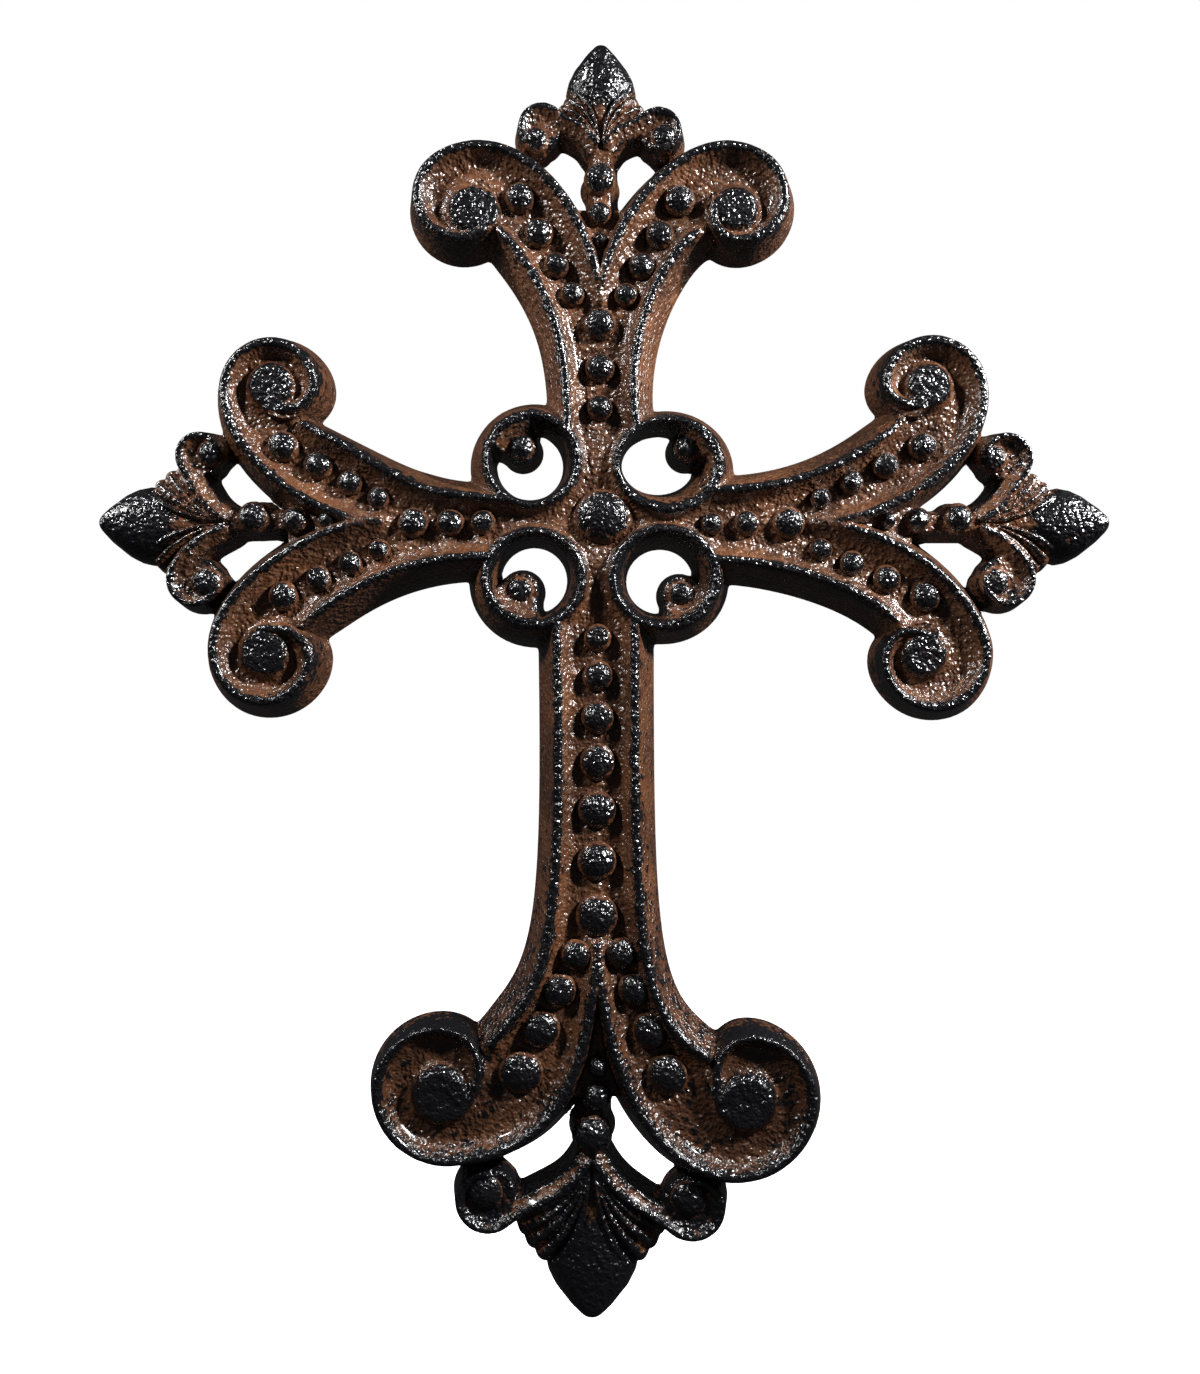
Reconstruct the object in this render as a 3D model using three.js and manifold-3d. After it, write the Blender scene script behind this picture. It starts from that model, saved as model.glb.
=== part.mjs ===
// Wall cross, one flat-backed iron casting with C scrolls, a beaded stem, a ringed
// crossing and a palmette on each of its four ends. Millimetres.
// It is drawn lying down: x to the right, y up the stem and z out of the flat back.
// The last lines stand it up, so the face looks along -Y and the stem runs along +Z.
import * as THREE from 'three';
import { mergeVertices } from 'three/addons/utils/BufferGeometryUtils.js';
import Module from 'manifold-3d';

const wasm = await Module();
wasm.setup();

// Heights above the back
const RIM_TOP = 12.7;
const CHANNEL_FLOOR = 9.2;
const CROSSING_FLOOR = 9.4;
const WEB_FLOOR = 7.6;
const BEAD_TOP = 12.5;
const EYE_TOP = 12.2;
const BOSS_TOP = 13.5;
const PALMETTE_TOP = 9.4;
const FAN_FLOOR = 7.6;
const NECK_TOP = 8.2;
const LOBE_TOP = 8.8;

// Section of a rim, measured from its crest line
const SHOULDER_OUT = 1.7;
const SHOULDER_DROP = 1.6;
const INNER_SLOPE = 2.6;

// How far the foot of a palmette's draughted side stands out from its top edge
const PALMETTE_SKIRT = 1.6;

// Every piece runs this far past the back, which is then cut flat
const BACK_TRIM = 1;
// Floors lap over the middle line of an arm, and over the ends of the crossing
const FLOOR_LAP = 1;
// Slivers thinner than this, left where pieces join, are merged
const JOIN_TOLERANCE = 0.06;
// The rim of a ring laps over the edge of the floor round its hole
const HOLE_LAP = 0.5;

// Steps along the curves
const SWEEP_STEPS = 6;
const SPIRAL_STEPS = 14;
const RING_STEPS = 18;
const BEAD_SIDES = 7;

// Each arm: where its V of rims meets, its web, and its palmette
const ARMS = {
  top: {
    heading: 90, apex: [0, 50.0], webEnd: [0, 73.1], webHalf: 7.4,
    neck: { at: [0.7, 65], half: 4.7 }, fan: [-0.2, 88.0], stalkFrom: 6.4,
    reach: 23.9, budAt: 14.5, budHalf: 6.9,
    flutes: { from: 27, to: 53, count: 3, length: 15.2 },
    knobs: [{ at: [-13.9, 91.5], radius: 4.9 }, { at: [13.9, 90.6], radius: 4.8 }],
    beads: [[0, 64.5, 1.6], [0, 71.1, 2.6], [0, 79.5, 3.5]],
  },
  left: {
    heading: 180, apex: [-52.1, -1.8], webEnd: [-74.8, -1.2], webHalf: 8.6,
    neck: { at: [-66, -1.2], half: 4.4 }, fan: [-89.4, -2.1], stalkFrom: 8.4,
    reach: 29.9, budAt: 18.6, budHalf: 8.0,
    flutes: { from: 24, to: 49, count: 3, length: 20.4 },
    knobs: [{ at: [-94.6, 14.0], radius: 5.0 }, { at: [-95.8, -15.5], radius: 6.1 }],
    beads: [[-64.1, -1.5, 2.1], [-71.9, -1.3, 3.1], [-82.0, -0.6, 3.5]],
  },
  right: {
    heading: 0, apex: [51.8, -2.1], webEnd: [74.8, -1.2], webHalf: 8.6,
    neck: { at: [66, -2.0], half: 5.1 }, fan: [91.0, -2.1], stalkFrom: 8.6,
    reach: 30.3, budAt: 19.0, budHalf: 7.8,
    flutes: { from: 23, to: 48, count: 3, length: 19.6 },
    knobs: [{ at: [96.0, 13.3], radius: 5.6 }, { at: [96.2, -15.3], radius: 6.2 }],
    beads: [[67.9, -1.5, 1.9], [75.2, -1.3, 2.9], [84.8, -1.0, 3.5]],
  },
  bottom: {
    heading: -90, apex: [-0.6, -102.3], webEnd: [-0.7, -138.9], webHalf: 8.0,
    neck: { at: [-1.2, -130], half: 5.0 }, fan: [-1.9, -153.9], stalkFrom: 12.4,
    reach: 37.2, budAt: 24.2, budHalf: 10.0,
    flutes: { from: 25, to: 51, count: 3, length: 28.6 },
    knobs: [{ at: [-26.7, -162.0], radius: 7.4 }, { at: [22.0, -163.8], radius: 7.6 }],
    beads: [[-0.5, -130.6, 2.6], [-0.9, -137.7, 3.3], [-1.9, -146.9, 4.4]],
  },
};

// A bud from its widest place to its tip: how far along, its width, and its drop in height
const BUD_PROFILE = [[0, 1, 0], [0.46, 0.8, 0.3], [0.76, 0.47, 0.8], [1, 0.01, 1.4]];

// Each scroll: an outer rim that sweeps from the apex of its arm into a volute, and an
// inner rim that runs from the crossing to the same volute. Headings are in degrees
// from +x towards +y, reaches are the lengths of the curves' handles, and skirts say how
// far the foot of the draughted side stands out from the crest at either end of a rim.
const SCROLLS = [
  {
    arm: 'left', leave: 178, leaveReach: 13.9, arriveReach: 16.6,
    centre: [-77.1, 29.0], radius: 10.7, from: 178, turn: -277, tighten: 3.7,
    eye: [-77.2, 29.8], eyeRadius: 5.9, skirts: [5.4, 3.2],
    inner: {
      start: [-28.4, 3.5], heading: 175, reach: 17.2,
      end: [-69.6, 20.7], arrive: 151, back: 29.1, skirts: [6.6, 3.0],
    },
  },
  {
    arm: 'left', leave: -176, leaveReach: 13.9, arriveReach: 17.2,
    centre: [-78.8, -32.5], radius: 11.5, from: -169, turn: 266, tighten: 3.3,
    eye: [-78.8, -32.7], eyeRadius: 6.1, skirts: [5.2, 3.6],
    inner: {
      start: [-28.5, -10.0], heading: -179, reach: 17.4,
      end: [-69.7, -25.7], arrive: -142, back: 15.4, skirts: [6.0, 5.4],
    },
  },
  {
    arm: 'right', leave: 4, leaveReach: 19.7, arriveReach: 16.2,
    centre: [77.3, 28.2], radius: 12.2, from: 15, turn: 240, tighten: 2.8,
    eye: [77.2, 29.8], eyeRadius: 5.7, skirts: [4.2, 3.0],
    inner: {
      start: [28.0, 5.2], heading: 1, reach: 16.0,
      end: [71.2, 21.5], arrive: 41, back: 18.0, skirts: [6.0, 5.6],
    },
  },
  {
    arm: 'right', leave: -10, leaveReach: 30.4, arriveReach: 5.0,
    centre: [77.7, -32.9], radius: 12.7, from: 3, turn: -293, tighten: 2.8,
    eye: [76.0, -33.4], eyeRadius: 5.7, skirts: [5.4, 1.8],
    inner: {
      start: [28.5, -10.7], heading: -1, reach: 13.0,
      end: [71.2, -26.4], arrive: -46, back: 14.4, skirts: [5.8, 4.4],
    },
  },
  {
    arm: 'top', leave: 98, leaveReach: 25.7, arriveReach: 18.1,
    centre: [-32.4, 74.6], radius: 10.1, from: 119, turn: 279, tighten: 4.2,
    eye: [-30.4, 71.2], eyeRadius: 5.9, skirts: [3.8, 3.6],
    inner: {
      start: [-7.5, 23.3], heading: 91, reach: 18.9,
      end: [-25.2, 68.7], arrive: 132, back: 20.7, skirts: [5.6, 5.8],
    },
  },
  {
    arm: 'top', leave: 85, leaveReach: 17.6, arriveReach: 19.2,
    centre: [31.9, 74.1], radius: 11.1, from: 62, turn: -255, tighten: 2.7,
    eye: [32.0, 71.4], eyeRadius: 5.7, skirts: [4.8, 3.2],
    inner: {
      start: [8.0, 23.4], heading: 97, reach: 20.0,
      end: [24.3, 67.0], arrive: 26, back: 9.9, skirts: [6.6, 4.4],
    },
  },
  {
    arm: 'bottom', leave: -96, leaveReach: 31.4, arriveReach: 24.7,
    centre: [-36.1, -134.3], radius: 17.5, from: -86, turn: -332, tighten: 1.6,
    eye: [-37.4, -136.8], eyeRadius: 7.2, skirts: [5.0, 1.6],
    inner: {
      start: [-9.8, -29.9], heading: -89, reach: 73.7,
      end: [-25.3, -124.9], arrive: -132, back: 20.6, skirts: [5.8, 5.8],
    },
  },
  {
    arm: 'bottom', leave: -85, leaveReach: 29.6, arriveReach: 17.7,
    centre: [32.6, -136.2], radius: 19.6, from: -99, turn: 300, tighten: 1.5,
    eye: [34.6, -138.6], eyeRadius: 7.2, skirts: [6.0, 2.0],
    inner: {
      start: [7.9, -28.4], heading: -90, reach: 75.5,
      end: [25.2, -128.5], arrive: -33, back: 19.9, skirts: [6.2, 6.4],
    },
  },
];
const SPIRAL_END_RADIUS = 5.6;

// The four rings round the crossing, and the lobe with its bead inside each
const RINGS = [
  {
    at: [-15.9, 12.4], radii: [10.4, 10.3], skirt: 6.4,
    hole: { at: [-17.0, 12.5], radii: [8.0, 8.0] }, lobe: { at: [-18.7, 15.9], outward: 125 },
  },
  {
    at: [16.1, 11.3], radii: [11.6, 10.2], skirt: 4.8,
    hole: { at: [14.0, 12.9], radii: [8.8, 7.0] }, lobe: { at: [20.6, 15.8], outward: 45 },
  },
  {
    at: [-15.5, -15.4], radii: [11.1, 10.7], skirt: 6.8,
    hole: { at: [-16.0, -15.1], radii: [8.0, 8.0] }, lobe: { at: [-18.8, -18.0], outward: -115 },
  },
  {
    at: [15.2, -15.2], radii: [11.9, 11.1], skirt: 4.2,
    hole: { at: [14.5, -15.3], radii: [8.1, 7.8] }, lobe: { at: [19.2, -19.2], outward: -60 },
  },
];
const LOBE_RADIUS = 4.7;
const LOBE_BEAD_RADIUS = 3.0;

// Rows of beads: first and last place, first and last radius
const BEAD_ROWS = [
  { from: [-52.3, 3.7], to: [-74.7, 15.9], count: 4, radii: [2.4, 3.3] },
  { from: [-52.1, -8.4], to: [-74.7, -19.4], count: 4, radii: [2.4, 3.3] },
  { from: [52.1, 3.7], to: [76.1, 15.9], count: 4, radii: [2.4, 3.2] },
  { from: [52.1, -8.4], to: [76.8, -19.4], count: 4, radii: [2.4, 3.3] },
  { from: [-6.5, 51.8], to: [-18.9, 74.5], count: 4, radii: [2.6, 3.4] },
  { from: [6.1, 51.6], to: [18.7, 74.0], count: 4, radii: [2.6, 3.4] },
  { from: [-5.8, -104.1], to: [-18.7, -131.9], count: 4, radii: [3.4, 4.6] },
  { from: [5.1, -103.7], to: [15.9, -132.4], count: 4, radii: [3.4, 4.6] },
  { from: [-44.1, -2.1], to: [-27.6, -1.9], count: 3, radii: [3.4, 2.6] },
  { from: [44.6, -2.1], to: [26.4, -2.3], count: 3, radii: [3.5, 2.4] },
  { from: [0, 44.8], to: [0, 25.0], count: 3, radii: [3.5, 2.8] },
  { from: [-0.7, -94.8], to: [-0.5, -29.2], count: 7, radii: [4.6, 3.0] },
];
const BOSS = { at: [0.7, -0.7], radius: 6.5 };

// Blind keyhole in the back of the top arm, for a nail or screw head
const KEYHOLE = { at: [0, 33], headRadius: 5, slotHalf: 2.6, slotLength: 9, depth: 5.5 };

const IRON = { color: 0x3a2319, roughness: 0.55, metalness: 0.35 };

const { degToRad: radians, lerp, smoothstep } = THREE.MathUtils;
const point = ([x, y]) => new THREE.Vector2(x, y);
const towards = (degrees, length = 1) =>
  new THREE.Vector2(Math.cos(radians(degrees)), Math.sin(radians(degrees))).multiplyScalar(length);

// A closed solid from rings of points, each ring the same convex section
function loft(rings, closed = false) {
  const side = rings[0].length;
  const positions = rings.flat().flatMap((p) => [p.x, p.y, p.z]);
  const index = [];
  const spans = closed ? rings.length : rings.length - 1;
  for (let i = 0; i < spans; i += 1) {
    const a = i * side;
    const b = ((i + 1) % rings.length) * side;
    for (let j = 0; j < side; j += 1) {
      const k = (j + 1) % side;
      index.push(a + j, b + j, b + k, a + j, b + k, a + k);
    }
  }
  if (!closed) {
    const last = (rings.length - 1) * side;
    for (let j = 1; j < side - 1; j += 1) {
      index.push(0, j, j + 1);
      index.push(last, last + j + 1, last + j);
    }
  }
  const geometry = new THREE.BufferGeometry();
  geometry.setAttribute('position', new THREE.Float32BufferAttribute(positions, 3));
  geometry.setIndex(index);
  return geometry;
}

// A closed solid for joining and cutting, turned right side out if it isn't
function solid(source) {
  const bare = source.clone();
  bare.deleteAttribute('normal');
  bare.deleteAttribute('uv');
  const geometry = mergeVertices(bare, 1e-5);
  const position = geometry.attributes.position;
  const triangles = Uint32Array.from(geometry.index.array);
  const [a, b, c] = [new THREE.Vector3(), new THREE.Vector3(), new THREE.Vector3()];
  let volume = 0;
  for (let i = 0; i < triangles.length; i += 3) {
    a.fromBufferAttribute(position, triangles[i]);
    b.fromBufferAttribute(position, triangles[i + 1]);
    c.fromBufferAttribute(position, triangles[i + 2]);
    volume += a.dot(b.cross(c));
  }
  if (volume < 0) triangles.reverse();
  return new wasm.Manifold(new wasm.Mesh({
    numProp: 3,
    vertProperties: Float32Array.from(position.array),
    triVerts: triangles,
  }));
}

const join = (solids) => solids.reduce((whole, next) => whole.add(next));

// A flat plate of a given outline, up to a height
function plate(outline, height) {
  const shape = new THREE.Shape(outline);
  const geometry = new THREE.ExtrudeGeometry(shape, {
    depth: height + BACK_TRIM,
    bevelEnabled: false,
    curveSegments: 1,
  });
  geometry.translate(0, 0, -BACK_TRIM);
  return solid(geometry);
}

// A round solid from a foot radius and a profile of [radius, height] pairs up to its middle
function turned(at, foot, profile, sides) {
  const points = [[0, -BACK_TRIM], [foot, -BACK_TRIM], ...profile].map(([r, z]) => new THREE.Vector2(r, z));
  const geometry = new THREE.LatheGeometry(points, sides);
  geometry.rotateX(Math.PI / 2);
  geometry.translate(at[0], at[1], 0);
  return solid(geometry);
}

function dome(at, radius, base, top, sides = BEAD_SIDES) {
  const rise = top - base;
  return turned(at, radius, [
    [radius, base],
    [radius * 0.72, base + rise * 0.7],
    [0, top],
  ], sides);
}

// Rims

// Crest line of an outer rim, with how far each point lies round the volute (0 to 1)
function outerCrest(scroll) {
  const centre = point(scroll.centre);
  const sense = Math.sign(scroll.turn);
  const join0 = centre.clone().add(towards(scroll.from, scroll.radius));
  const sweep = new THREE.CubicBezierCurve(
    point(ARMS[scroll.arm].apex),
    point(ARMS[scroll.arm].apex).add(towards(scroll.leave, scroll.leaveReach)),
    join0.clone().sub(towards(scroll.from + 90 * sense, scroll.arriveReach)),
    join0,
  );
  const [start, end] = scroll.skirts;
  const crest = sweep.getPoints(SWEEP_STEPS).map((at) => ({ at, round: 0, skirt: start }));
  for (let i = 1; i <= SPIRAL_STEPS; i += 1) {
    const round = i / SPIRAL_STEPS;
    const radius = lerp(scroll.radius, SPIRAL_END_RADIUS, round ** scroll.tighten);
    const at = centre.clone().add(towards(scroll.from + scroll.turn * round, radius));
    crest.push({ at, round, skirt: lerp(start, end, smoothstep(round, 0.1, 0.5)) });
  }
  return crest;
}

function innerCrest({ inner }) {
  const start = point(inner.start);
  const end = point(inner.end);
  const curve = new THREE.CubicBezierCurve(
    start,
    start.clone().add(towards(inner.heading, inner.reach)),
    end.clone().sub(towards(inner.arrive, inner.back)),
    end,
  );
  return curve.getPoints(SWEEP_STEPS).map((at, i) =>
    ({ at, skirt: lerp(inner.skirts[0], inner.skirts[1], i / SWEEP_STEPS) }));
}

// The section of a rim at one point: "out" is the unit direction away from the channel
function rimSection(at, out, skirt) {
  const place = (distance, z) => new THREE.Vector3(at.x + out.x * distance, at.y + out.y * distance, z);
  return [
    place(skirt, -BACK_TRIM),
    place(SHOULDER_OUT, RIM_TOP - SHOULDER_DROP),
    place(0, RIM_TOP),
    place(-INNER_SLOPE, CHANNEL_FLOOR - 0.2),
    place(-INNER_SLOPE, -BACK_TRIM),
  ];
}

// Sections along a crest line. "side" is 1 where the outside lies to the left of the run.
function rimSections(crest, side) {
  return crest.map(({ at, skirt }, i) => {
    const before = crest[Math.max(i - 1, 0)].at;
    const after = crest[Math.min(i + 1, crest.length - 1)].at;
    const run = after.clone().sub(before).normalize();
    const out = new THREE.Vector2(-run.y, run.x).multiplyScalar(side);
    return rimSection(at, out, skirt);
  });
}

// Floor between the two rims of a scroll, closed a little past the middle of its arm
function scrollFloor(scroll) {
  const outer = outerCrest(scroll).filter(({ round }) => round < 0.86).map(({ at }) => at);
  const inner = innerCrest(scroll).map(({ at }) => at).reverse();
  const apex = point(ARMS[scroll.arm].apex);
  const start = point(scroll.inner.start);
  const along = towards(ARMS[scroll.arm].heading);
  const past = along.clone().rotateAround(new THREE.Vector2(), Math.PI / 2);
  past.multiplyScalar(-Math.sign(past.dot(start.clone().sub(apex))) * FLOOR_LAP);
  const middle = apex.clone().addScaledVector(along, start.clone().sub(apex).dot(along));
  return plate([...outer, ...inner, middle.add(past), apex.add(past)], CHANNEL_FLOOR);
}

// The outer rim is swept in two runs, so that the volute's end can pass close to its start
function scrolls() {
  return SCROLLS.flatMap((scroll) => {
    const side = -Math.sign(scroll.turn);
    const outer = rimSections(outerCrest(scroll), side);
    const half = SWEEP_STEPS + SPIRAL_STEPS / 2;
    return [
      scrollFloor(scroll),
      solid(loft(outer.slice(0, half + 1))),
      solid(loft(outer.slice(half))),
      solid(loft(rimSections(innerCrest(scroll), -side))),
      turned(scroll.eye, scroll.eyeRadius, [
        [scroll.eyeRadius, EYE_TOP - 0.8],
        [scroll.eyeRadius - 0.9, EYE_TOP],
        [0, EYE_TOP],
      ], 11),
    ];
  });
}

// Crossing

function ellipse({ at, radii }, grow = 0) {
  return Array.from({ length: RING_STEPS }, (_, i) => {
    const out = towards((i * 360) / RING_STEPS);
    out.multiply(new THREE.Vector2(radii[0] + grow, radii[1] + grow));
    return out.add(point(at));
  });
}

const raise = (outline, z) => outline.map((p) => new THREE.Vector3(p.x, p.y, z));

// The rim of a ring: its inside runs down to the edge of the hole in the back
function ringRim(ring) {
  const levels = [
    raise(ellipse(ring, ring.skirt), -BACK_TRIM),
    raise(ellipse(ring, SHOULDER_OUT), RIM_TOP - SHOULDER_DROP),
    raise(ellipse(ring), RIM_TOP),
    raise(ellipse(ring.hole), -BACK_TRIM),
  ];
  const sections = levels[0].map((_, i) => levels.map((level) => level[i]));
  return solid(loft(sections, true));
}

// The hole, cut a little wide so that the rim lines it
function ringHole(ring) {
  return solid(loft([
    raise(ellipse(ring.hole, HOLE_LAP), -BACK_TRIM),
    raise(ellipse(ring, -HOLE_LAP), RIM_TOP),
  ]));
}

// Two bars of floor that lap into the four arms
function crossingFloor() {
  const corners = SCROLLS.map(({ arm, inner }) =>
    point(inner.start).add(towards(ARMS[arm].heading, FLOOR_LAP)));
  const [leftUp, leftDown, rightUp, rightDown, topLeft, topRight, footLeft, footRight] = corners;
  const across = plate([leftDown, rightDown, rightUp, leftUp], CROSSING_FLOOR);
  const upright = plate([footLeft, footRight, topRight, topLeft], CROSSING_FLOOR);
  return across.add(upright);
}

// A comma of metal that hangs inside a ring, with a bead on it
function lobe(ring) {
  const root = point(ring.lobe.at).add(towards(ring.lobe.outward, LOBE_RADIUS));
  return [
    turned(ring.lobe.at, LOBE_RADIUS + 0.8, [
      [LOBE_RADIUS, LOBE_TOP - 1],
      [LOBE_RADIUS - 1, LOBE_TOP],
      [0, LOBE_TOP],
    ], 10),
    bar(point(ring.lobe.at), root, LOBE_RADIUS - 1, LOBE_RADIUS, LOBE_TOP - 0.3),
    dome(ring.lobe.at, LOBE_BEAD_RADIUS, LOBE_TOP, LOBE_TOP + 2),
  ];
}

function crossing() {
  const holes = join(RINGS.map(ringHole));
  const floor = crossingFloor().subtract(holes);
  return [
    floor,
    ...RINGS.map(ringRim),
    ...RINGS.flatMap(lobe),
    dome(BOSS.at, BOSS.radius, CROSSING_FLOOR, BOSS_TOP, 12),
  ];
}

// Beads

function beadRow({ from, to, count, radii }) {
  const sizes = Array.from({ length: count }, (_, i) =>
    lerp(radii[0], radii[1], i / (count - 1)));
  const steps = sizes.slice(1).map((size, i) => size + sizes[i]);
  const total = steps.reduce((sum, step) => sum + step, 0);
  let run = 0;
  return sizes.map((size, i) => {
    if (i > 0) run += steps[i - 1];
    const at = point(from).lerp(point(to), run / total);
    return dome([at.x, at.y], size, CHANNEL_FLOOR, BEAD_TOP);
  });
}

// Webs and palmettes

// A low bar between two places, narrower on top than at its foot
function bar(start, end, topHalf, footHalf, height) {
  const run = end.clone().sub(start).normalize();
  const across = new THREE.Vector2(-run.y, run.x);
  const section = (at) => {
    const place = (distance, z) =>
      new THREE.Vector3(at.x + across.x * distance, at.y + across.y * distance, z);
    return [
      place(-footHalf, -BACK_TRIM),
      place(-topHalf, height - 0.8),
      place(-topHalf * 0.55, height),
      place(topHalf * 0.55, height),
      place(topHalf, height - 0.8),
      place(footHalf, -BACK_TRIM),
    ];
  };
  return solid(loft([section(start), section(end)]));
}

function web(arm) {
  const along = towards(arm.heading);
  const across = new THREE.Vector2(-along.y, along.x);
  const end = point(arm.webEnd);
  const left = end.clone().addScaledVector(across, arm.webHalf);
  const right = end.clone().addScaledVector(across, -arm.webHalf);
  return [
    plate([point(arm.apex), right, left], WEB_FLOOR),
    bar(point(arm.neck.at), point(arm.fan), 2.8, arm.neck.half, NECK_TOP),
    ...arm.beads.map(([x, y, radius]) => dome([x, y], radius, WEB_FLOOR, WEB_FLOOR + 1.2 + radius * 0.5)),
  ];
}

// Sections across a run from the root of a palmette: each is a list of [offset, height]
function tongue(arm, heading, stations) {
  const along = towards(heading);
  const across = new THREE.Vector2(-along.y, along.x);
  const sections = stations.map(({ run, section }) => {
    const at = point(arm.fan).addScaledVector(along, run);
    return section.map(([offset, z]) =>
      new THREE.Vector3(at.x + across.x * offset, at.y + across.y * offset, z));
  });
  return solid(loft(sections));
}

function bud(arm) {
  const section = (half, top) => [
    [-half - PALMETTE_SKIRT, -BACK_TRIM],
    [-half, top * 0.75],
    [0, top],
    [half, top * 0.75],
    [half + PALMETTE_SKIRT, -BACK_TRIM],
  ];
  return tongue(arm, arm.heading, [
    { run: 0, section: section(0.4, FAN_FLOOR) },
    ...BUD_PROFILE.map(([along, width, drop]) => ({
      run: lerp(arm.budAt, arm.reach, along),
      section: section(arm.budHalf * width, PALMETTE_TOP - drop),
    })),
  ]);
}

// Flutes are shorter the further they lean
const fluteLength = (arm, order) => arm.flutes.length * (1 - 0.05 * order);

function flute(arm, heading, width, order) {
  const length = fluteLength(arm, order);
  const section = (half, height) => [[-half, FAN_FLOOR - 1], [0, height], [half, FAN_FLOOR - 1]];
  return tongue(arm, heading, [
    { run: 0, section: section(0.4, FAN_FLOOR) },
    { run: length * 0.8, section: section(width, PALMETTE_TOP - 0.2 - 0.15 * order) },
    { run: length, section: section(width * 0.3, FAN_FLOOR - 0.6) },
  ]);
}

// The scalloped ground of a palmette, with one lobe for each flute
function fanGround(arm, leans) {
  const gap = (leans[1] - leans[0]) / 2;
  const oneSide = leans.flatMap((lean, i) =>
    [[lean - gap, fluteLength(arm, i) * 0.9], [lean, fluteLength(arm, i)]]);
  oneSide.push([leans[leans.length - 1] + gap, fluteLength(arm, leans.length) * 0.8]);
  const rays = [...oneSide.map(([lean, run]) => [-lean, run]).reverse(), ...oneSide];
  const outline = (skirt) => [
    point(arm.fan).add(towards(arm.heading + 180, skirt)),
    ...rays.map(([lean, run]) => point(arm.fan).add(towards(arm.heading + lean, run + skirt))),
  ];
  return solid(loft([raise(outline(PALMETTE_SKIRT), -BACK_TRIM), raise(outline(0), FAN_FLOOR)]));
}

// A small volute on its stalk, with a bead in its dish
function knob(arm, { at, radius }) {
  const top = PALMETTE_TOP - 0.3;
  const root = point(arm.fan).add(towards(arm.heading, arm.stalkFrom));
  return [
    turned(at, radius + PALMETTE_SKIRT + 0.6, [
      [radius, top - 0.8],
      [radius - 0.7, top],
      [radius * 0.6, top - 1.4],
      [0, top - 1.4],
    ], 10),
    dome(at, radius * 0.55, top - 1.4, top + 0.6),
    bar(root, point(at).lerp(root, 0.2), 1.6, 1.2 + PALMETTE_SKIRT, FAN_FLOOR + 0.6),
  ];
}

function palmette(arm) {
  const { from, to, count, length } = arm.flutes;
  const spread = (to - from) / (count - 1);
  const leans = Array.from({ length: count }, (_, i) => from + spread * i);
  const width = length * 0.8 * Math.tan(radians(spread / 2));
  return [
    fanGround(arm, leans),
    bud(arm),
    ...leans.flatMap((lean, i) => [-1, 1].map((side) =>
      flute(arm, arm.heading + side * lean, width, i))),
    ...arm.knobs.flatMap((each) => knob(arm, each)),
  ];
}

// Keyhole in the back

function keyhole() {
  const { at, headRadius, slotHalf, slotLength, depth } = KEYHOLE;
  const head = new THREE.Shape();
  head.absarc(0, 0, headRadius, 0, Math.PI * 2);
  const slot = new THREE.Shape();
  slot.moveTo(-slotHalf, 0);
  slot.lineTo(slotHalf, 0);
  slot.lineTo(slotHalf, slotLength);
  slot.absarc(0, slotLength, slotHalf, 0, Math.PI);
  const pocket = (shape) => {
    const geometry = new THREE.ExtrudeGeometry(shape, {
      depth: depth + BACK_TRIM,
      bevelEnabled: false,
      curveSegments: 8,
    });
    geometry.translate(at[0], at[1], -BACK_TRIM);
    return solid(geometry);
  };
  return pocket(head).add(pocket(slot));
}

// What is below the back plane, with room to spare on every side
function behindBack() {
  const geometry = new THREE.BoxGeometry(400, 400, BACK_TRIM * 2);
  geometry.translate(0, -40, -BACK_TRIM);
  return solid(geometry);
}

// The whole casting

const skins = join([
  ...scrolls(),
  ...crossing(),
  ...BEAD_ROWS.flatMap(beadRow),
  ...Object.values(ARMS).flatMap(web),
  ...Object.values(ARMS).flatMap(palmette),
]).subtract(keyhole()).subtract(behindBack()).asOriginal().simplify(JOIN_TOLERANCE).decompose();

// The outer skin alone: specks of hollow sealed in where pieces meet are filled
const casting = skins.reduce((largest, skin) => (skin.volume() > largest.volume() ? skin : largest));

const { vertProperties, triVerts } = casting.getMesh();
const geometry = new THREE.BufferGeometry();
geometry.setAttribute('position', new THREE.Float32BufferAttribute(vertProperties, 3));
geometry.setIndex(Array.from(triVerts));
geometry.computeVertexNormals();

const cross = new THREE.Mesh(geometry, new THREE.MeshStandardMaterial(IRON));
cross.name = 'cross';
cross.rotation.x = Math.PI / 2;

const group = new THREE.Group();
group.add(cross);

export default group;
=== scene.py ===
"""Looks for a cast iron wall cross: the relief of its face, the beads, the rubbed rust patina,
a pale studio and the camera. Sizes in the tables are millimetres, x to the right and z up,
measured from the centre of the crossing; heights are above the flat back."""
import math

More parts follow.
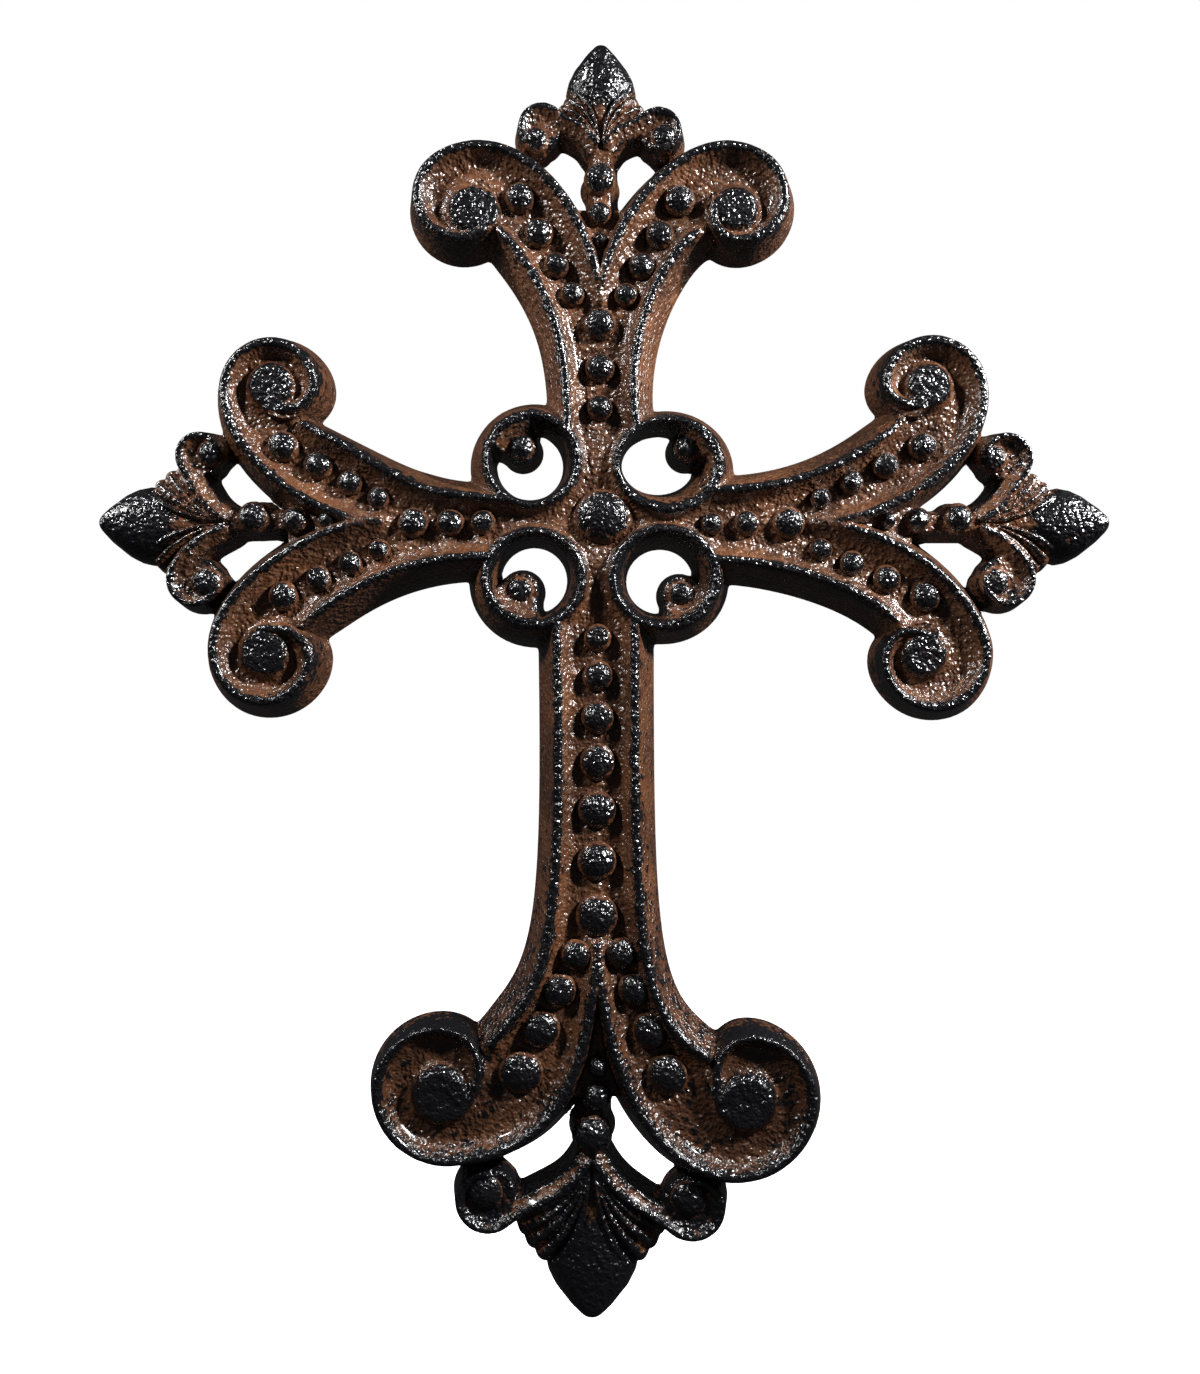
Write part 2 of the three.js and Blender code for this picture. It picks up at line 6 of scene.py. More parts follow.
import bpy
import numpy as np
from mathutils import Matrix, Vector


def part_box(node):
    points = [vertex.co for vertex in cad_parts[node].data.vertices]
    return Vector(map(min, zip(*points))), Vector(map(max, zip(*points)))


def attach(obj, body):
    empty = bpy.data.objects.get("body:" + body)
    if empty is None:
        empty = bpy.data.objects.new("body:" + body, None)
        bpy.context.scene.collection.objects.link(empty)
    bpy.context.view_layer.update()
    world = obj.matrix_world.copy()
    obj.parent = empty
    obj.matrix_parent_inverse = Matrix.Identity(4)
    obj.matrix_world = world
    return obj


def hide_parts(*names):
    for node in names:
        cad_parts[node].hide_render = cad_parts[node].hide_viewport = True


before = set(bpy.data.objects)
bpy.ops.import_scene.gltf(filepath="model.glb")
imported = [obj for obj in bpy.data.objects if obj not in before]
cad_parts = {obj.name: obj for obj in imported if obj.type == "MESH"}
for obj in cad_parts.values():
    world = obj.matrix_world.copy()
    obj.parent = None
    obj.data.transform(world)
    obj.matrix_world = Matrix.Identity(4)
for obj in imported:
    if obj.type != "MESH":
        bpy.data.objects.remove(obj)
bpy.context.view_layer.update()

bl_info = {
    "name": "Cast Wall Cross",
    "version": (1, 0, 0),
    "blender": (4, 5, 0),
    "location": "3D View > Sidebar > Wall Cross",
    "description": "Dresses the solid of a cast iron wall cross with its relief, beads and patina",
    "category": "Object",
}

LOW, HIGH = (Vector(corner) * 1000 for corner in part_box("cross"))
DEPTH = HIGH.y - LOW.y

# Heights above the back, given below the top of the boss, which is the highest place. OUTSIDE
# stands for no metal, and WEB_RISE is how much a web rises to the apex of its rims.
RIM_TOP = DEPTH - 0.8
CHANNEL_FLOOR = DEPTH - 4.3
BEAD_TOP = DEPTH - 1.3
EYE_TOP = DEPTH - 1.3
PALMETTE_TOP = DEPTH - 4.0
WEB_FLOOR = DEPTH - 5.9
CROSSING_FLOOR = DEPTH - 3.0
OUTSIDE = -6.0
WEB_RISE = 3.6

# Each arm: the apex where its two outer rims meet, its web, its neck and its palmette. Flutes are
# the first and last lean, how many on a side and their length; a knob is its place and radius, then
# the place and radius of its bead; beads are x, z and radius.
ARMS = {
    "top": dict(
        heading=90, apex=(0, 50.0), web_end=(0, 73.1), web_half=7.4,
        neck=(0.7, 65), neck_half=3.9,
        fan=(0.2, 86.4), reach=25.3, bud_at=16.1, bud_half=6.9, flutes=(21, 50, 4, 16.6),
        knobs=(((-13.9, 91.5), 5.0, (-15.1, 88.9), 2.9), ((13.9, 90.6), 4.9, (15.2, 89.6), 2.9)),
        beads=((0, 64.5, 1.6), (0, 71.1, 2.6), (0, 79.5, 3.5)),
    ),
    "left": dict(
        heading=180, apex=(-52.1, -1.8), web_end=(-74.8, -1.2), web_half=8.6,
        neck=(-66, -1.2), neck_half=3.7,
        fan=(-87.8, -1.9), reach=31.5, bud_at=20.2, bud_half=7.9, flutes=(18, 47, 4, 22.0),
        knobs=(((-94.6, 14.0), 5.1, (-92.1, 14.5), 3.1), ((-95.8, -15.5), 6.0, (-93.2, -16.1), 3.4)),
        beads=((-64.1, -1.5, 2.1), (-71.9, -1.3, 3.1), (-82.0, -0.6, 3.5)),
    ),
    "right": dict(
        heading=0, apex=(51.8, -2.1), web_end=(74.8, -1.2), web_half=8.6,
        neck=(66, -2.0), neck_half=3.9,
        fan=(89.4, -2.0), reach=31.9, bud_at=20.6, bud_half=7.7, flutes=(18, 46, 4, 21.2),
        knobs=(((96.0, 13.3), 5.6, (93.0, 13.3), 3.2), ((96.2, -15.3), 6.1, (93.7, -16.0), 3.3)),
        beads=((67.9, -1.5, 1.9), (75.2, -1.3, 2.9), (84.8, -1.0, 3.5)),
    ),
    "bottom": dict(
        heading=-90, apex=(-0.6, -102.3), web_end=(-0.7, -138.9), web_half=8.0,
        neck=(-1.2, -130), neck_half=4.3,
        fan=(-1.9, -152.0), reach=39.1, bud_at=26.1, bud_half=9.9, flutes=(17, 49, 5, 30.4),
        knobs=(((-26.7, -162.0), 7.3, (-27.3, -160.6), 4.1), ((22.0, -163.8), 7.4, (21.0, -162.2), 4.0)),
        beads=((-0.5, -130.6, 2.6), (-0.9, -137.7, 3.3), (-1.9, -146.9, 4.4)),
    ),
}

# Each scroll: an outer rim from the apex of its arm into a volute, and an inner rim from the
# crossing. Headings are in degrees, reaches are handle lengths, skirts the spread of the foot.
SCROLLS = (
    dict(
        arm="left", leave=178, leave_reach=13.9, arrive_reach=16.6,
        centre=(-77.1, 29.0), radius=10.7, start=178, turn=-277, tighten=3.7,
        eye=(-77.2, 29.8), eye_radius=5.9, skirts=(5.4, 3.2),
        inner=dict(start=(-28.4, 3.5), heading=175, reach=17.2, end=(-69.6, 20.7), arrive=151, back=29.1,
                   skirts=(6.6, 3.0)),
    ),
    dict(
        arm="left", leave=-176, leave_reach=13.9, arrive_reach=17.2,
        centre=(-78.8, -32.5), radius=11.5, start=-169, turn=266, tighten=3.3,
        eye=(-78.8, -32.7), eye_radius=6.1, skirts=(5.2, 3.6),
        inner=dict(start=(-28.5, -10.0), heading=-179, reach=17.4, end=(-69.7, -25.7), arrive=-142, back=15.4,
                   skirts=(6.0, 5.4)),
    ),
    dict(
        arm="right", leave=4, leave_reach=19.7, arrive_reach=16.2,
        centre=(77.3, 28.2), radius=12.2, start=15, turn=240, tighten=2.8,
        eye=(77.2, 29.8), eye_radius=5.7, skirts=(4.2, 3.0),
        inner=dict(start=(28.0, 5.2), heading=1, reach=16.0, end=(71.2, 21.5), arrive=41, back=18.0,
                   skirts=(6.0, 5.6)),
    ),
    dict(
        arm="right", leave=-10, leave_reach=30.4, arrive_reach=5.0,
        centre=(77.7, -32.9), radius=12.7, start=3, turn=-293, tighten=2.8,
        eye=(76.0, -33.4), eye_radius=5.7, skirts=(5.4, 1.8),
        inner=dict(start=(28.5, -10.7), heading=-1, reach=13.0, end=(71.2, -26.4), arrive=-46, back=14.4,
                   skirts=(5.8, 4.4)),
    ),
    dict(
        arm="top", leave=98, leave_reach=25.7, arrive_reach=18.1,
        centre=(-32.4, 74.6), radius=10.1, start=119, turn=279, tighten=4.2,
        eye=(-30.4, 71.2), eye_radius=5.9, skirts=(3.8, 3.6),
        inner=dict(start=(-7.5, 23.3), heading=91, reach=18.9, end=(-25.2, 68.7), arrive=132, back=20.7,
                   skirts=(5.6, 5.8)),
    ),
    dict(
        arm="top", leave=85, leave_reach=17.6, arrive_reach=19.2,
        centre=(31.9, 74.1), radius=11.1, start=62, turn=-255, tighten=2.7,
        eye=(32.0, 71.4), eye_radius=5.7, skirts=(4.8, 3.2),
        inner=dict(start=(8.0, 23.4), heading=97, reach=20.0, end=(24.3, 67.0), arrive=26, back=9.9,
                   skirts=(6.6, 4.4)),
    ),
    dict(
        arm="bottom", leave=-96, leave_reach=31.4, arrive_reach=24.7,
        centre=(-36.1, -134.3), radius=17.5, start=-86, turn=-332, tighten=1.6,
        eye=(-37.4, -136.8), eye_radius=7.2, skirts=(5.0, 1.6),
        inner=dict(start=(-9.8, -29.9), heading=-89, reach=73.7, end=(-25.3, -124.9), arrive=-132, back=20.6,
                   skirts=(5.8, 5.8)),
    ),
    dict(
        arm="bottom", leave=-85, leave_reach=29.6, arrive_reach=17.7,
        centre=(32.6, -136.2), radius=19.6, start=-99, turn=300, tighten=1.5,
        eye=(34.6, -138.6), eye_radius=7.2, skirts=(6.0, 2.0),
        inner=dict(start=(7.9, -28.4), heading=-90, reach=75.5, end=(25.2, -128.5), arrive=-33, back=19.9,
                   skirts=(6.2, 6.4)),
    ),
)
SPIRAL_END_RADIUS = 5.6

# How far an inner rim reaches back into its ring, and how far a bud spreads at its foot
RIM_ROOT = 6.0
BUD_FOOT = 1.6

# The four rings: the ellipse of the crest, of the hole in the back, and the lobe with its bead
RINGS = (
    dict(at=(-15.9, 12.4), radii=(10.4, 10.3), skirt=6.4, hole_at=(-17.0, 12.5), hole_radii=(8.0, 8.0),
         lobe=(-18.7, 15.9), lobe_radius=4.2, outward=125),
    dict(at=(16.1, 11.3), radii=(11.6, 10.2), skirt=4.8, hole_at=(14.0, 12.9), hole_radii=(8.8, 7.0),
         lobe=(20.6, 15.8), lobe_radius=4.0, outward=45),
    dict(at=(-15.5, -15.4), radii=(11.1, 10.7), skirt=6.8, hole_at=(-16.0, -15.1), hole_radii=(8.0, 8.0),
         lobe=(-18.8, -18.0), lobe_radius=4.8, outward=-115),
    dict(at=(15.2, -15.2), radii=(11.9, 11.1), skirt=4.2, hole_at=(14.5, -15.3), hole_radii=(8.1, 7.8),
         lobe=(19.2, -18.9), lobe_radius=4.8, outward=-60),
)
LOBE_TOP = DEPTH - 4.7
LOBE_BEAD = 3.0

# Rows of beads: first and last place, how many, first and last radius. A bead spreads a little at
# its foot, which is sunk in the floor.
BEAD_ROWS = (
    ((-52.3, 3.7), (-74.7, 15.9), 4, (2.4, 3.3)),
    ((-52.1, -8.4), (-74.7, -19.4), 4, (2.4, 3.3)),
    ((52.1, 3.7), (76.1, 15.9), 4, (2.4, 3.2)),
    ((52.1, -8.4), (76.8, -19.4), 4, (2.4, 3.3)),
    ((-6.5, 51.8), (-18.9, 74.5), 4, (2.6, 3.4)),
    ((6.1, 51.6), (18.7, 74.0), 4, (2.6, 3.4)),
    ((-5.8, -104.1), (-18.7, -131.9), 4, (3.4, 4.6)),
    ((5.1, -103.7), (15.9, -132.4), 4, (3.4, 4.6)),
    ((-44.1, -2.1), (-27.6, -1.9), 3, (3.4, 2.6)),
    ((44.6, -2.1), (26.4, -2.3), 3, (3.5, 2.4)),
    ((0, 44.8), (0, 25.0), 3, (3.5, 2.8)),
    ((-0.7, -94.8), (-0.5, -29.2), 7, (4.6, 3.0)),
)
BOSS = (0.7, -0.7, 6.5)
BEAD_SPREAD = 1.12
BEAD_SUNK = 0.3

# Blind keyhole in the back: middle of the head, its radius, half the slot, slot length, depth
KEYHOLE = dict(at=(0, 33), head=5.0, slot=2.6, length=9.0, depth=5.5)

# Softboxes, in metres: name, place, what it points at, its side, watts and the beam in degrees. The
# beams fall off towards the foot of the cross, and the two edge lights catch only its sides.
LIGHTS = (
    ("right", (0.44, -0.25, 0.26), (0.06, 0, 0.05), 0.05, 1.6, 75),
    ("left", (-0.4, -0.26, 0.34), (-0.03, 0, 0.04), 0.05, 0.6, 75),
    ("right edge", (0.42, 0.0, 0.14), (0.06, 0, 0), 0.12, 0.9, 120),
    ("left edge", (-0.42, 0.0, 0.14), (-0.06, 0, 0), 0.12, 0.35, 120),
)
FILL = (0.028, 0.028, 0.029, 1)
WHITE = (1, 1, 1, 1)
FLOOR_GAP = 0.02
FLOOR_HALF = 1.2


# Curves and distances

def heading(degrees):
    return np.array([math.cos(math.radians(degrees)), math.sin(math.radians(degrees))])


def bezier(a, b, c, d, steps):
    t = np.linspace(0, 1, steps + 1)[:, None]
    a, b, c, d = (np.asarray(p, float) for p in (a, b, c, d))
    return (1 - t) ** 3 * a + 3 * t * (1 - t) ** 2 * b + 3 * t * t * (1 - t) * c + t ** 3 * d


def smooth(low, high, value):
    t = np.clip((value - low) / (high - low), 0, 1)
    return t * t * (3 - 2 * t)


def blend_max(a, b, width):
    """The higher of two heights, with a fillet about as wide as width where they cross."""
    near = np.clip(width - np.abs(a - b), 0, None) / width
    return np.maximum(a, b) + near * near * width / 4


def spiral_radius(scroll, turned):
    """Radius of a volute's crest at a share of its turn."""
    share = np.clip(turned, 0, 1) ** scroll["tighten"]
    return scroll["radius"] + (SPIRAL_END_RADIUS - scroll["radius"]) * share


def curl(scroll, turned):
    """A point of a volute's crest: it winds in and settles on the edge of the eye."""
    out = heading(scroll["start"] + scroll["turn"] * turned)
    free = np.array(scroll["centre"]) + spiral_radius(scroll, turned) * out
    settled = np.array(scroll["eye"]) + (scroll["eye_radius"] - 1.0) * out
    return free + (settled - free) * smooth(0.6, 1.0, turned)


def outer_crest(scroll):
    """Points of the outer rim, how far each lies round the volute, and the spread of its foot."""
    centre, sense = np.array(scroll["centre"]), math.copysign(1, scroll["turn"])
    first = centre + scroll["radius"] * heading(scroll["start"])
    apex = np.array(ARMS[scroll["arm"]]["apex"])
    sweep = bezier(apex, apex + scroll["leave_reach"] * heading(scroll["leave"]),
                   first - scroll["arrive_reach"] * heading(scroll["start"] + 90 * sense), first, 26)
    turned = np.linspace(0, 1, 55)[1:]
    winding = [curl(scroll, t) for t in turned]
    turned = np.concatenate([np.zeros(len(sweep)), turned])
    start, end = scroll["skirts"]
    return np.vstack([sweep, winding]), turned, start + (end - start) * smooth(0.1, 0.5, turned)


def inner_crest(inner):
    """Points of the inner rim, drawn back into the ring that it grows from, and its foot's spread."""
    start, end = np.array(inner["start"]), np.array(inner["end"])
    path = bezier(start, start + inner["reach"] * heading(inner["heading"]),
                  end - inner["back"] * heading(inner["arrive"]), end, 34)
    spread = np.linspace(inner["skirts"][0], inner["skirts"][1], len(path))
    root = start - RIM_ROOT * heading(inner["heading"])
    return np.vstack([root, path]), np.concatenate([spread[:1], spread])


class Relief:
    """Heights of the face over a square grid, and how black each place is rubbed, from 0 to 1."""

    def __init__(self, step):
        margin = 2.0
        self.step = step
        self.x = np.arange(LOW.x - margin, HIGH.x + margin, step)
        self.z = np.arange(LOW.z - margin, HIGH.z + margin, step)
        self.height = np.full((len(self.z), len(self.x)), OUTSIDE)
        self.rub = np.zeros_like(self.height)

    def window(self, low, high):
        """The part of the grid between two corners, as slices and coordinates."""
        i0, i1 = np.searchsorted(self.x, (low[0], high[0]))
        j0, j1 = np.searchsorted(self.z, (low[1], high[1]))
        part = (slice(j0, j1), slice(i0, i1))
        px, pz = np.meshgrid(self.x[i0:i1], self.z[j0:j1])
        return part, px, pz

    def around(self, path, reach):
        path = np.asarray(path)
        return self.window(path.min(0) - reach, path.max(0) + reach)

    def raise_to(self, part, height, fillet=0.7):
        before = self.height[part]
        self.height[part] = np.where(height > OUTSIDE, blend_max(before, height, fillet), before)

    def paint(self, part, amount):
        self.rub[part] = np.maximum(self.rub[part], amount)


def nearest(path, px, pz):
    """Distance to a path, its side (1 to the left of the run) and the place along it."""
    distance = np.full(px.shape, np.inf)
    side = np.zeros(px.shape)
    along = np.zeros(px.shape)
    for i, (a, b) in enumerate(zip(path[:-1], path[1:])):
        d = b - a
        t = np.clip(((px - a[0]) * d[0] + (pz - a[1]) * d[1]) / (d @ d), 0, 1)
        qx, qz = px - a[0] - t * d[0], pz - a[1] - t * d[1]
        here = np.hypot(qx, qz)
        closer = here < distance
        distance = np.where(closer, here, distance)
        side = np.where(closer, np.sign(d[0] * qz - d[1] * qx), side)
        along = np.where(closer, i + t, along)
    return distance, side, along


def inside(outline, px, pz):
    """Which points lie inside a closed outline."""
    odd = np.zeros(px.shape, bool)
    for (ax, az), (bx, bz) in zip(outline, np.roll(outline, -1, axis=0)):
        if az == bz:
            continue
        crosses = (az > pz) != (bz > pz)
        odd ^= crosses & (px < (bx - ax) * (pz - az) / (bz - az) + ax)
    return odd


def wall(distance, top, spread, rounding=0.55):
    """A casting's outer side: a round shoulder, then a straight draughted wall to the back."""
    shoulder = np.minimum(1.7, 0.45 * spread)
    drop = top - 1.6
    straight = drop * (spread - distance) / (spread - shoulder)
    crown = top - rounding * np.clip(distance - 0.4, 0, None) ** 2
    return -blend_max(-straight, -crown, 1.2)


def rim(relief, path, skirt, outside, top, floor, slope=3.1, fillet=0.6, black=1.0):
    """A rim along a path: a wall on its outside, and a cove down to the floor inside."""
    part, px, pz = relief.around(path, max(np.max(skirt), slope) + 1.5)
    distance, side, along = nearest(path, px, pz)
    steps = np.arange(len(path))
    spread = np.interp(along, steps, np.broadcast_to(skirt, len(path)))
    top = np.interp(along, steps, np.broadcast_to(top, len(path)))
    away = np.clip((np.hypot(distance, 0.55) - 0.55) / slope, 0, 1)
    within = np.where(away < 1, floor + (top - floor) * (1 - away) ** 1.6, OUTSIDE)
    relief.raise_to(part, np.where(side == outside, wall(distance, top, spread), within), fillet)
    black = np.interp(along, steps, np.broadcast_to(black, len(path)))
    relief.paint(part, black * np.where(side == outside, 1 - smooth(0.3, 1.5, distance),
                                        1 - smooth(0.1, 1.0, distance)))


# The beads

def bead_places():
    """Every channel bead as x, z, radius, base and top."""
    found = []
    for first, last, count, (r0, r1) in BEAD_ROWS:
        growth = (r1 - r0) / (count - 1)
        steps = np.arange(count)
        share = (2 * r0 * steps + growth * steps ** 2) / (2 * r0 * (count - 1) + growth * (count - 1) ** 2)
        for s, i in zip(share, steps):
            x, z = np.array(first) * (1 - s) + np.array(last) * s
            found.append((x, z, r0 + growth * i, CHANNEL_FLOOR, BEAD_TOP))
    return found


def web_level(arm, x, z):
    """Height of an arm's web, which rises towards the apex of its rims."""
    apex, end = np.array(arm["apex"]), np.array(arm["web_end"])
    span = end - apex
    share = ((x - apex[0]) * span[0] + (z - apex[1]) * span[1]) / (span @ span)
    return WEB_FLOOR + WEB_RISE * np.clip(1 - share, 0, 1)


def single_beads():
    """The beads that stand alone: on the necks, in the knobs, on the lobes, and the boss."""
    found = []
    for arm in ARMS.values():
        for x, z, r in arm["beads"]:
            level = web_level(arm, x, z)
            found.append((x, z, r, level, min(level + 2.7 + 0.25 * r, BEAD_TOP)))
        found += [(*at, r, PALMETTE_TOP - 1.7, PALMETTE_TOP + 0.6) for _, _, at, r in arm["knobs"]]
    found += [(*ring["lobe"], LOBE_BEAD, LOBE_TOP - 0.4, LOBE_TOP + 2) for ring in RINGS]
    found.append((*BOSS, CHANNEL_FLOOR + 0.2, DEPTH))
    return found


# The face, one kind of form at a time

def dishes(relief, depth):
    """How deep the floor is dished round the beads."""
    hollow = np.zeros_like(relief.height)
    for x, z, radius, _, _ in bead_places() + [(*BOSS, 0, 0)]:
        reach = radius * 1.6
        part, px, pz = relief.window((x - reach, z - reach), (x + reach, z + reach))
        away = np.hypot(px - x, pz - z) / reach
        hollow[part] = np.maximum(hollow[part], depth * np.clip(1 - away ** 2, 0, None))
    return hollow


def scroll_floor(relief, scroll, hollow):
    """The channel of a scroll and the groove of its volute, which grows shallow as it winds in."""
    path, turned, _ = outer_crest(scroll)
    inner = scroll["inner"]
    back, _ = inner_crest(inner)
    apex, start = np.array(ARMS[scroll["arm"]]["apex"]), np.array(inner["start"])
    along = heading(ARMS[scroll["arm"]]["heading"])
    across = np.array([-along[1], along[0]])
    lap = -math.copysign(1.0, (start - apex) @ across) * across
    middle = apex + along * ((start - apex) @ along)
    outline = np.vstack([path[turned < 0.4], back[::-1], [middle + lap, apex + lap]])
    part, px, pz = relief.around(outline, 1)
    floor = CHANNEL_FLOOR - hollow[part]
    relief.raise_to(part, np.where(inside(outline, px, pz), floor, OUTSIDE), 0.2)

    centre = np.array(scroll["centre"])
    part, px, pz = relief.window(centre - scroll["radius"] - 1, centre + scroll["radius"] + 1)
    angle = np.degrees(np.arctan2(pz - centre[1], px - centre[0]))
    sense = math.copysign(1, scroll["turn"])
    share = ((angle - scroll["start"]) * sense % 360) / abs(scroll["turn"])
    away = np.hypot(px - centre[0], pz - centre[1])
    rise = 1.2 * np.clip(share, 0, 1) ** 2 + (EYE_TOP - CHANNEL_FLOOR - 1.2) * smooth(0.72, 1.0, share)
    groove = CHANNEL_FLOOR + np.where(share <= 1, rise, 0) - hollow[part]
    reach = np.where(share <= 1, spiral_radius(scroll, share), SPIRAL_END_RADIUS)
    relief.raise_to(part, np.where(away < reach, groove, OUTSIDE), 0.4)


def scroll_rims(relief, scroll):
    """The outer rim, which rises from the apex and sinks into the eye, and the inner rim."""
    side = -math.copysign(1, scroll["turn"])
    path, turned, skirt = outer_crest(scroll)
    run = np.concatenate([[0], np.cumsum(np.hypot(*np.diff(path, axis=0).T))])
    top = RIM_TOP - 1.5 * (1 - smooth(0, 9, run)) - (RIM_TOP - EYE_TOP) * smooth(0.6, 0.95, turned)
    rim(relief, path, skirt, side, top, CHANNEL_FLOOR, black=0.35 + 0.65 * smooth(2, 16, run))
    path, skirt = inner_crest(scroll["inner"])
    left = np.concatenate([np.cumsum(np.hypot(*np.diff(path, axis=0).T)[::-1])[::-1], [0]])
    fade = 1 - smooth(0, 7, left)
    rim(relief, path, skirt, -side, RIM_TOP - 1.3 * fade, CHANNEL_FLOOR, black=1 - 0.6 * fade)


def disc(relief, at, radius, top, foot, rounding, black):
    """A round table with a soft edge."""
    reach = np.array([radius + 1, radius + 1])
    part, px, pz = relief.window(np.array(at) - reach, np.array(at) + reach)
    away = np.hypot(px - at[0], pz - at[1])
    edge = smooth(0, 1, (away - radius + rounding) / (2 * rounding))
    relief.raise_to(part, np.where(away < radius + rounding, top - (top - foot) * edge, OUTSIDE))
    relief.paint(part, black * (1 - smooth(radius - 1.5, radius + 0.7, away)))


def eyes(relief):
    for scroll in SCROLLS:
        disc(relief, scroll["eye"], scroll["eye_radius"] - 0.3, EYE_TOP, CHANNEL_FLOOR, 1.5, 0.8)


def radial(at, radii, px, pz):
    """Distance outside an ellipse, measured towards its centre."""
    dx, dz = px - at[0], pz - at[1]
    scale = np.hypot(dx / radii[0], dz / radii[1]) + 1e-9
    return np.hypot(dx, dz) * (1 - 1 / scale)


def crossing(relief, hollow):
    """The floor of the crossing and its four rings, with their holes and lobes."""
    corners = [np.array(s["inner"]["start"]) + heading(ARMS[s["arm"]]["heading"]) for s in SCROLLS]
    left_up, left_down, right_up, right_down, top_left, top_right, foot_left, foot_right = corners
    for outline in ((left_down, right_down, right_up, left_up), (foot_left, foot_right, top_right, top_left)):
        part, px, pz = relief.around(outline, 1)
        near_middle = 1 - smooth(11, 24, np.hypot(px - BOSS[0], pz - BOSS[1]))
        floor = CHANNEL_FLOOR + (CROSSING_FLOOR - CHANNEL_FLOOR) * near_middle - hollow[part]
        relief.raise_to(part, np.where(inside(np.array(outline), px, pz), floor, OUTSIDE), 0.3)
    for ring in RINGS:
        reach = ring["radii"][0] + ring["skirt"] + 1
        at = np.array(ring["at"])
        part, px, pz = relief.window(at - reach, at + reach)
        out = radial(ring["at"], ring["radii"], px, pz)
        low_slope = CHANNEL_FLOOR + (RIM_TOP - CHANNEL_FLOOR) * (1 - smooth(0.4, 3.2, out))
        rim_height = np.maximum(wall(out, RIM_TOP, ring["skirt"]), np.where(out < 3.2, low_slope, OUTSIDE))
        over_floor = relief.height[part] > CHANNEL_FLOOR - 1.5
        rim_height = np.where(over_floor, rim_height, wall(out, RIM_TOP, ring["skirt"]))
        relief.raise_to(part, np.where(out > 0, rim_height, OUTSIDE))
        opening = radial(ring["hole_at"], ring["hole_radii"], px, pz)
        share = np.clip(opening / (opening - out + 1e-6), 0, 1)
        lining = np.where(opening > 0, RIM_TOP * (1 - (1 - share) ** 1.7), opening * 6)
        relief.height[part] = np.where(out < 0, np.maximum(lining, OUTSIDE), relief.height[part])
        relief.rub[part] = np.where(out < 0, 0.15, relief.rub[part])
        relief.paint(part, np.where(out > 0, 1 - smooth(0.5, 1.9, out), 1 - smooth(0.4, 1.5, -out)))
        lobe(relief, ring)


def lobe(relief, ring):
    """A comma of metal inside a ring that carries a bead, and widens to the ring it grows from."""
    at, radius = np.array(ring["lobe"]), ring["lobe_radius"]
    root = at + heading(ring["outward"]) * (radius + 1.5)
    part, px, pz = relief.around([at, root], 2 * radius + 3)
    distance, _, along = nearest([at, root], px, pz)
    out = radial(ring["at"], ring["radii"], px, pz)
    rise = 2.2 * along + 1.6 * smooth(-3.5, -0.8, out)
    mound = wall(distance - (radius - 1.2) * (1 + 0.9 * along), LOBE_TOP + rise, 2.0)
    relief.raise_to(part, np.where(out < -0.3, mound, OUTSIDE), 2.4)


def webs(relief):
    """The webs between the outer rims, the necks beyond them and the collars round their beads."""
    for arm in ARMS.values():
        along = heading(arm["heading"])
        across = np.array([-along[1], along[0]])
        end, apex = np.array(arm["web_end"]), np.array(arm["apex"])
        outline = np.array([apex, end + across * arm["web_half"], end - across * arm["web_half"]])
        part, px, pz = relief.around(outline, 1.5)
        edge = (np.stack([px, pz], -1) - end) @ along
        level = web_level(arm, px, pz) - np.clip(edge + 1.0, 0, None) ** 2 * 4
        slab = np.where(inside(outline, px, pz), level, OUTSIDE)
        relief.raise_to(part, slab)
        neck, fan = np.array(arm["neck"]), np.array(arm["fan"])
        part, px, pz = relief.around([neck, fan], 8)
        distance, _, _ = nearest([neck, fan + along * 2], px, pz)
        bar = wall(distance - 1.2, WEB_FLOOR + 0.4, arm["neck_half"] - 1.2)
        relief.raise_to(part, bar)
        for x, z, radius in arm["beads"]:
            part, px, pz = relief.window((x - 9, z - 9), (x + 9, z + 9))
            away = np.hypot(px - x, pz - z)
            relief.raise_to(part, wall(away - radius * 0.6, web_level(arm, x, z) + 0.4, radius * 0.4 + 1.3))


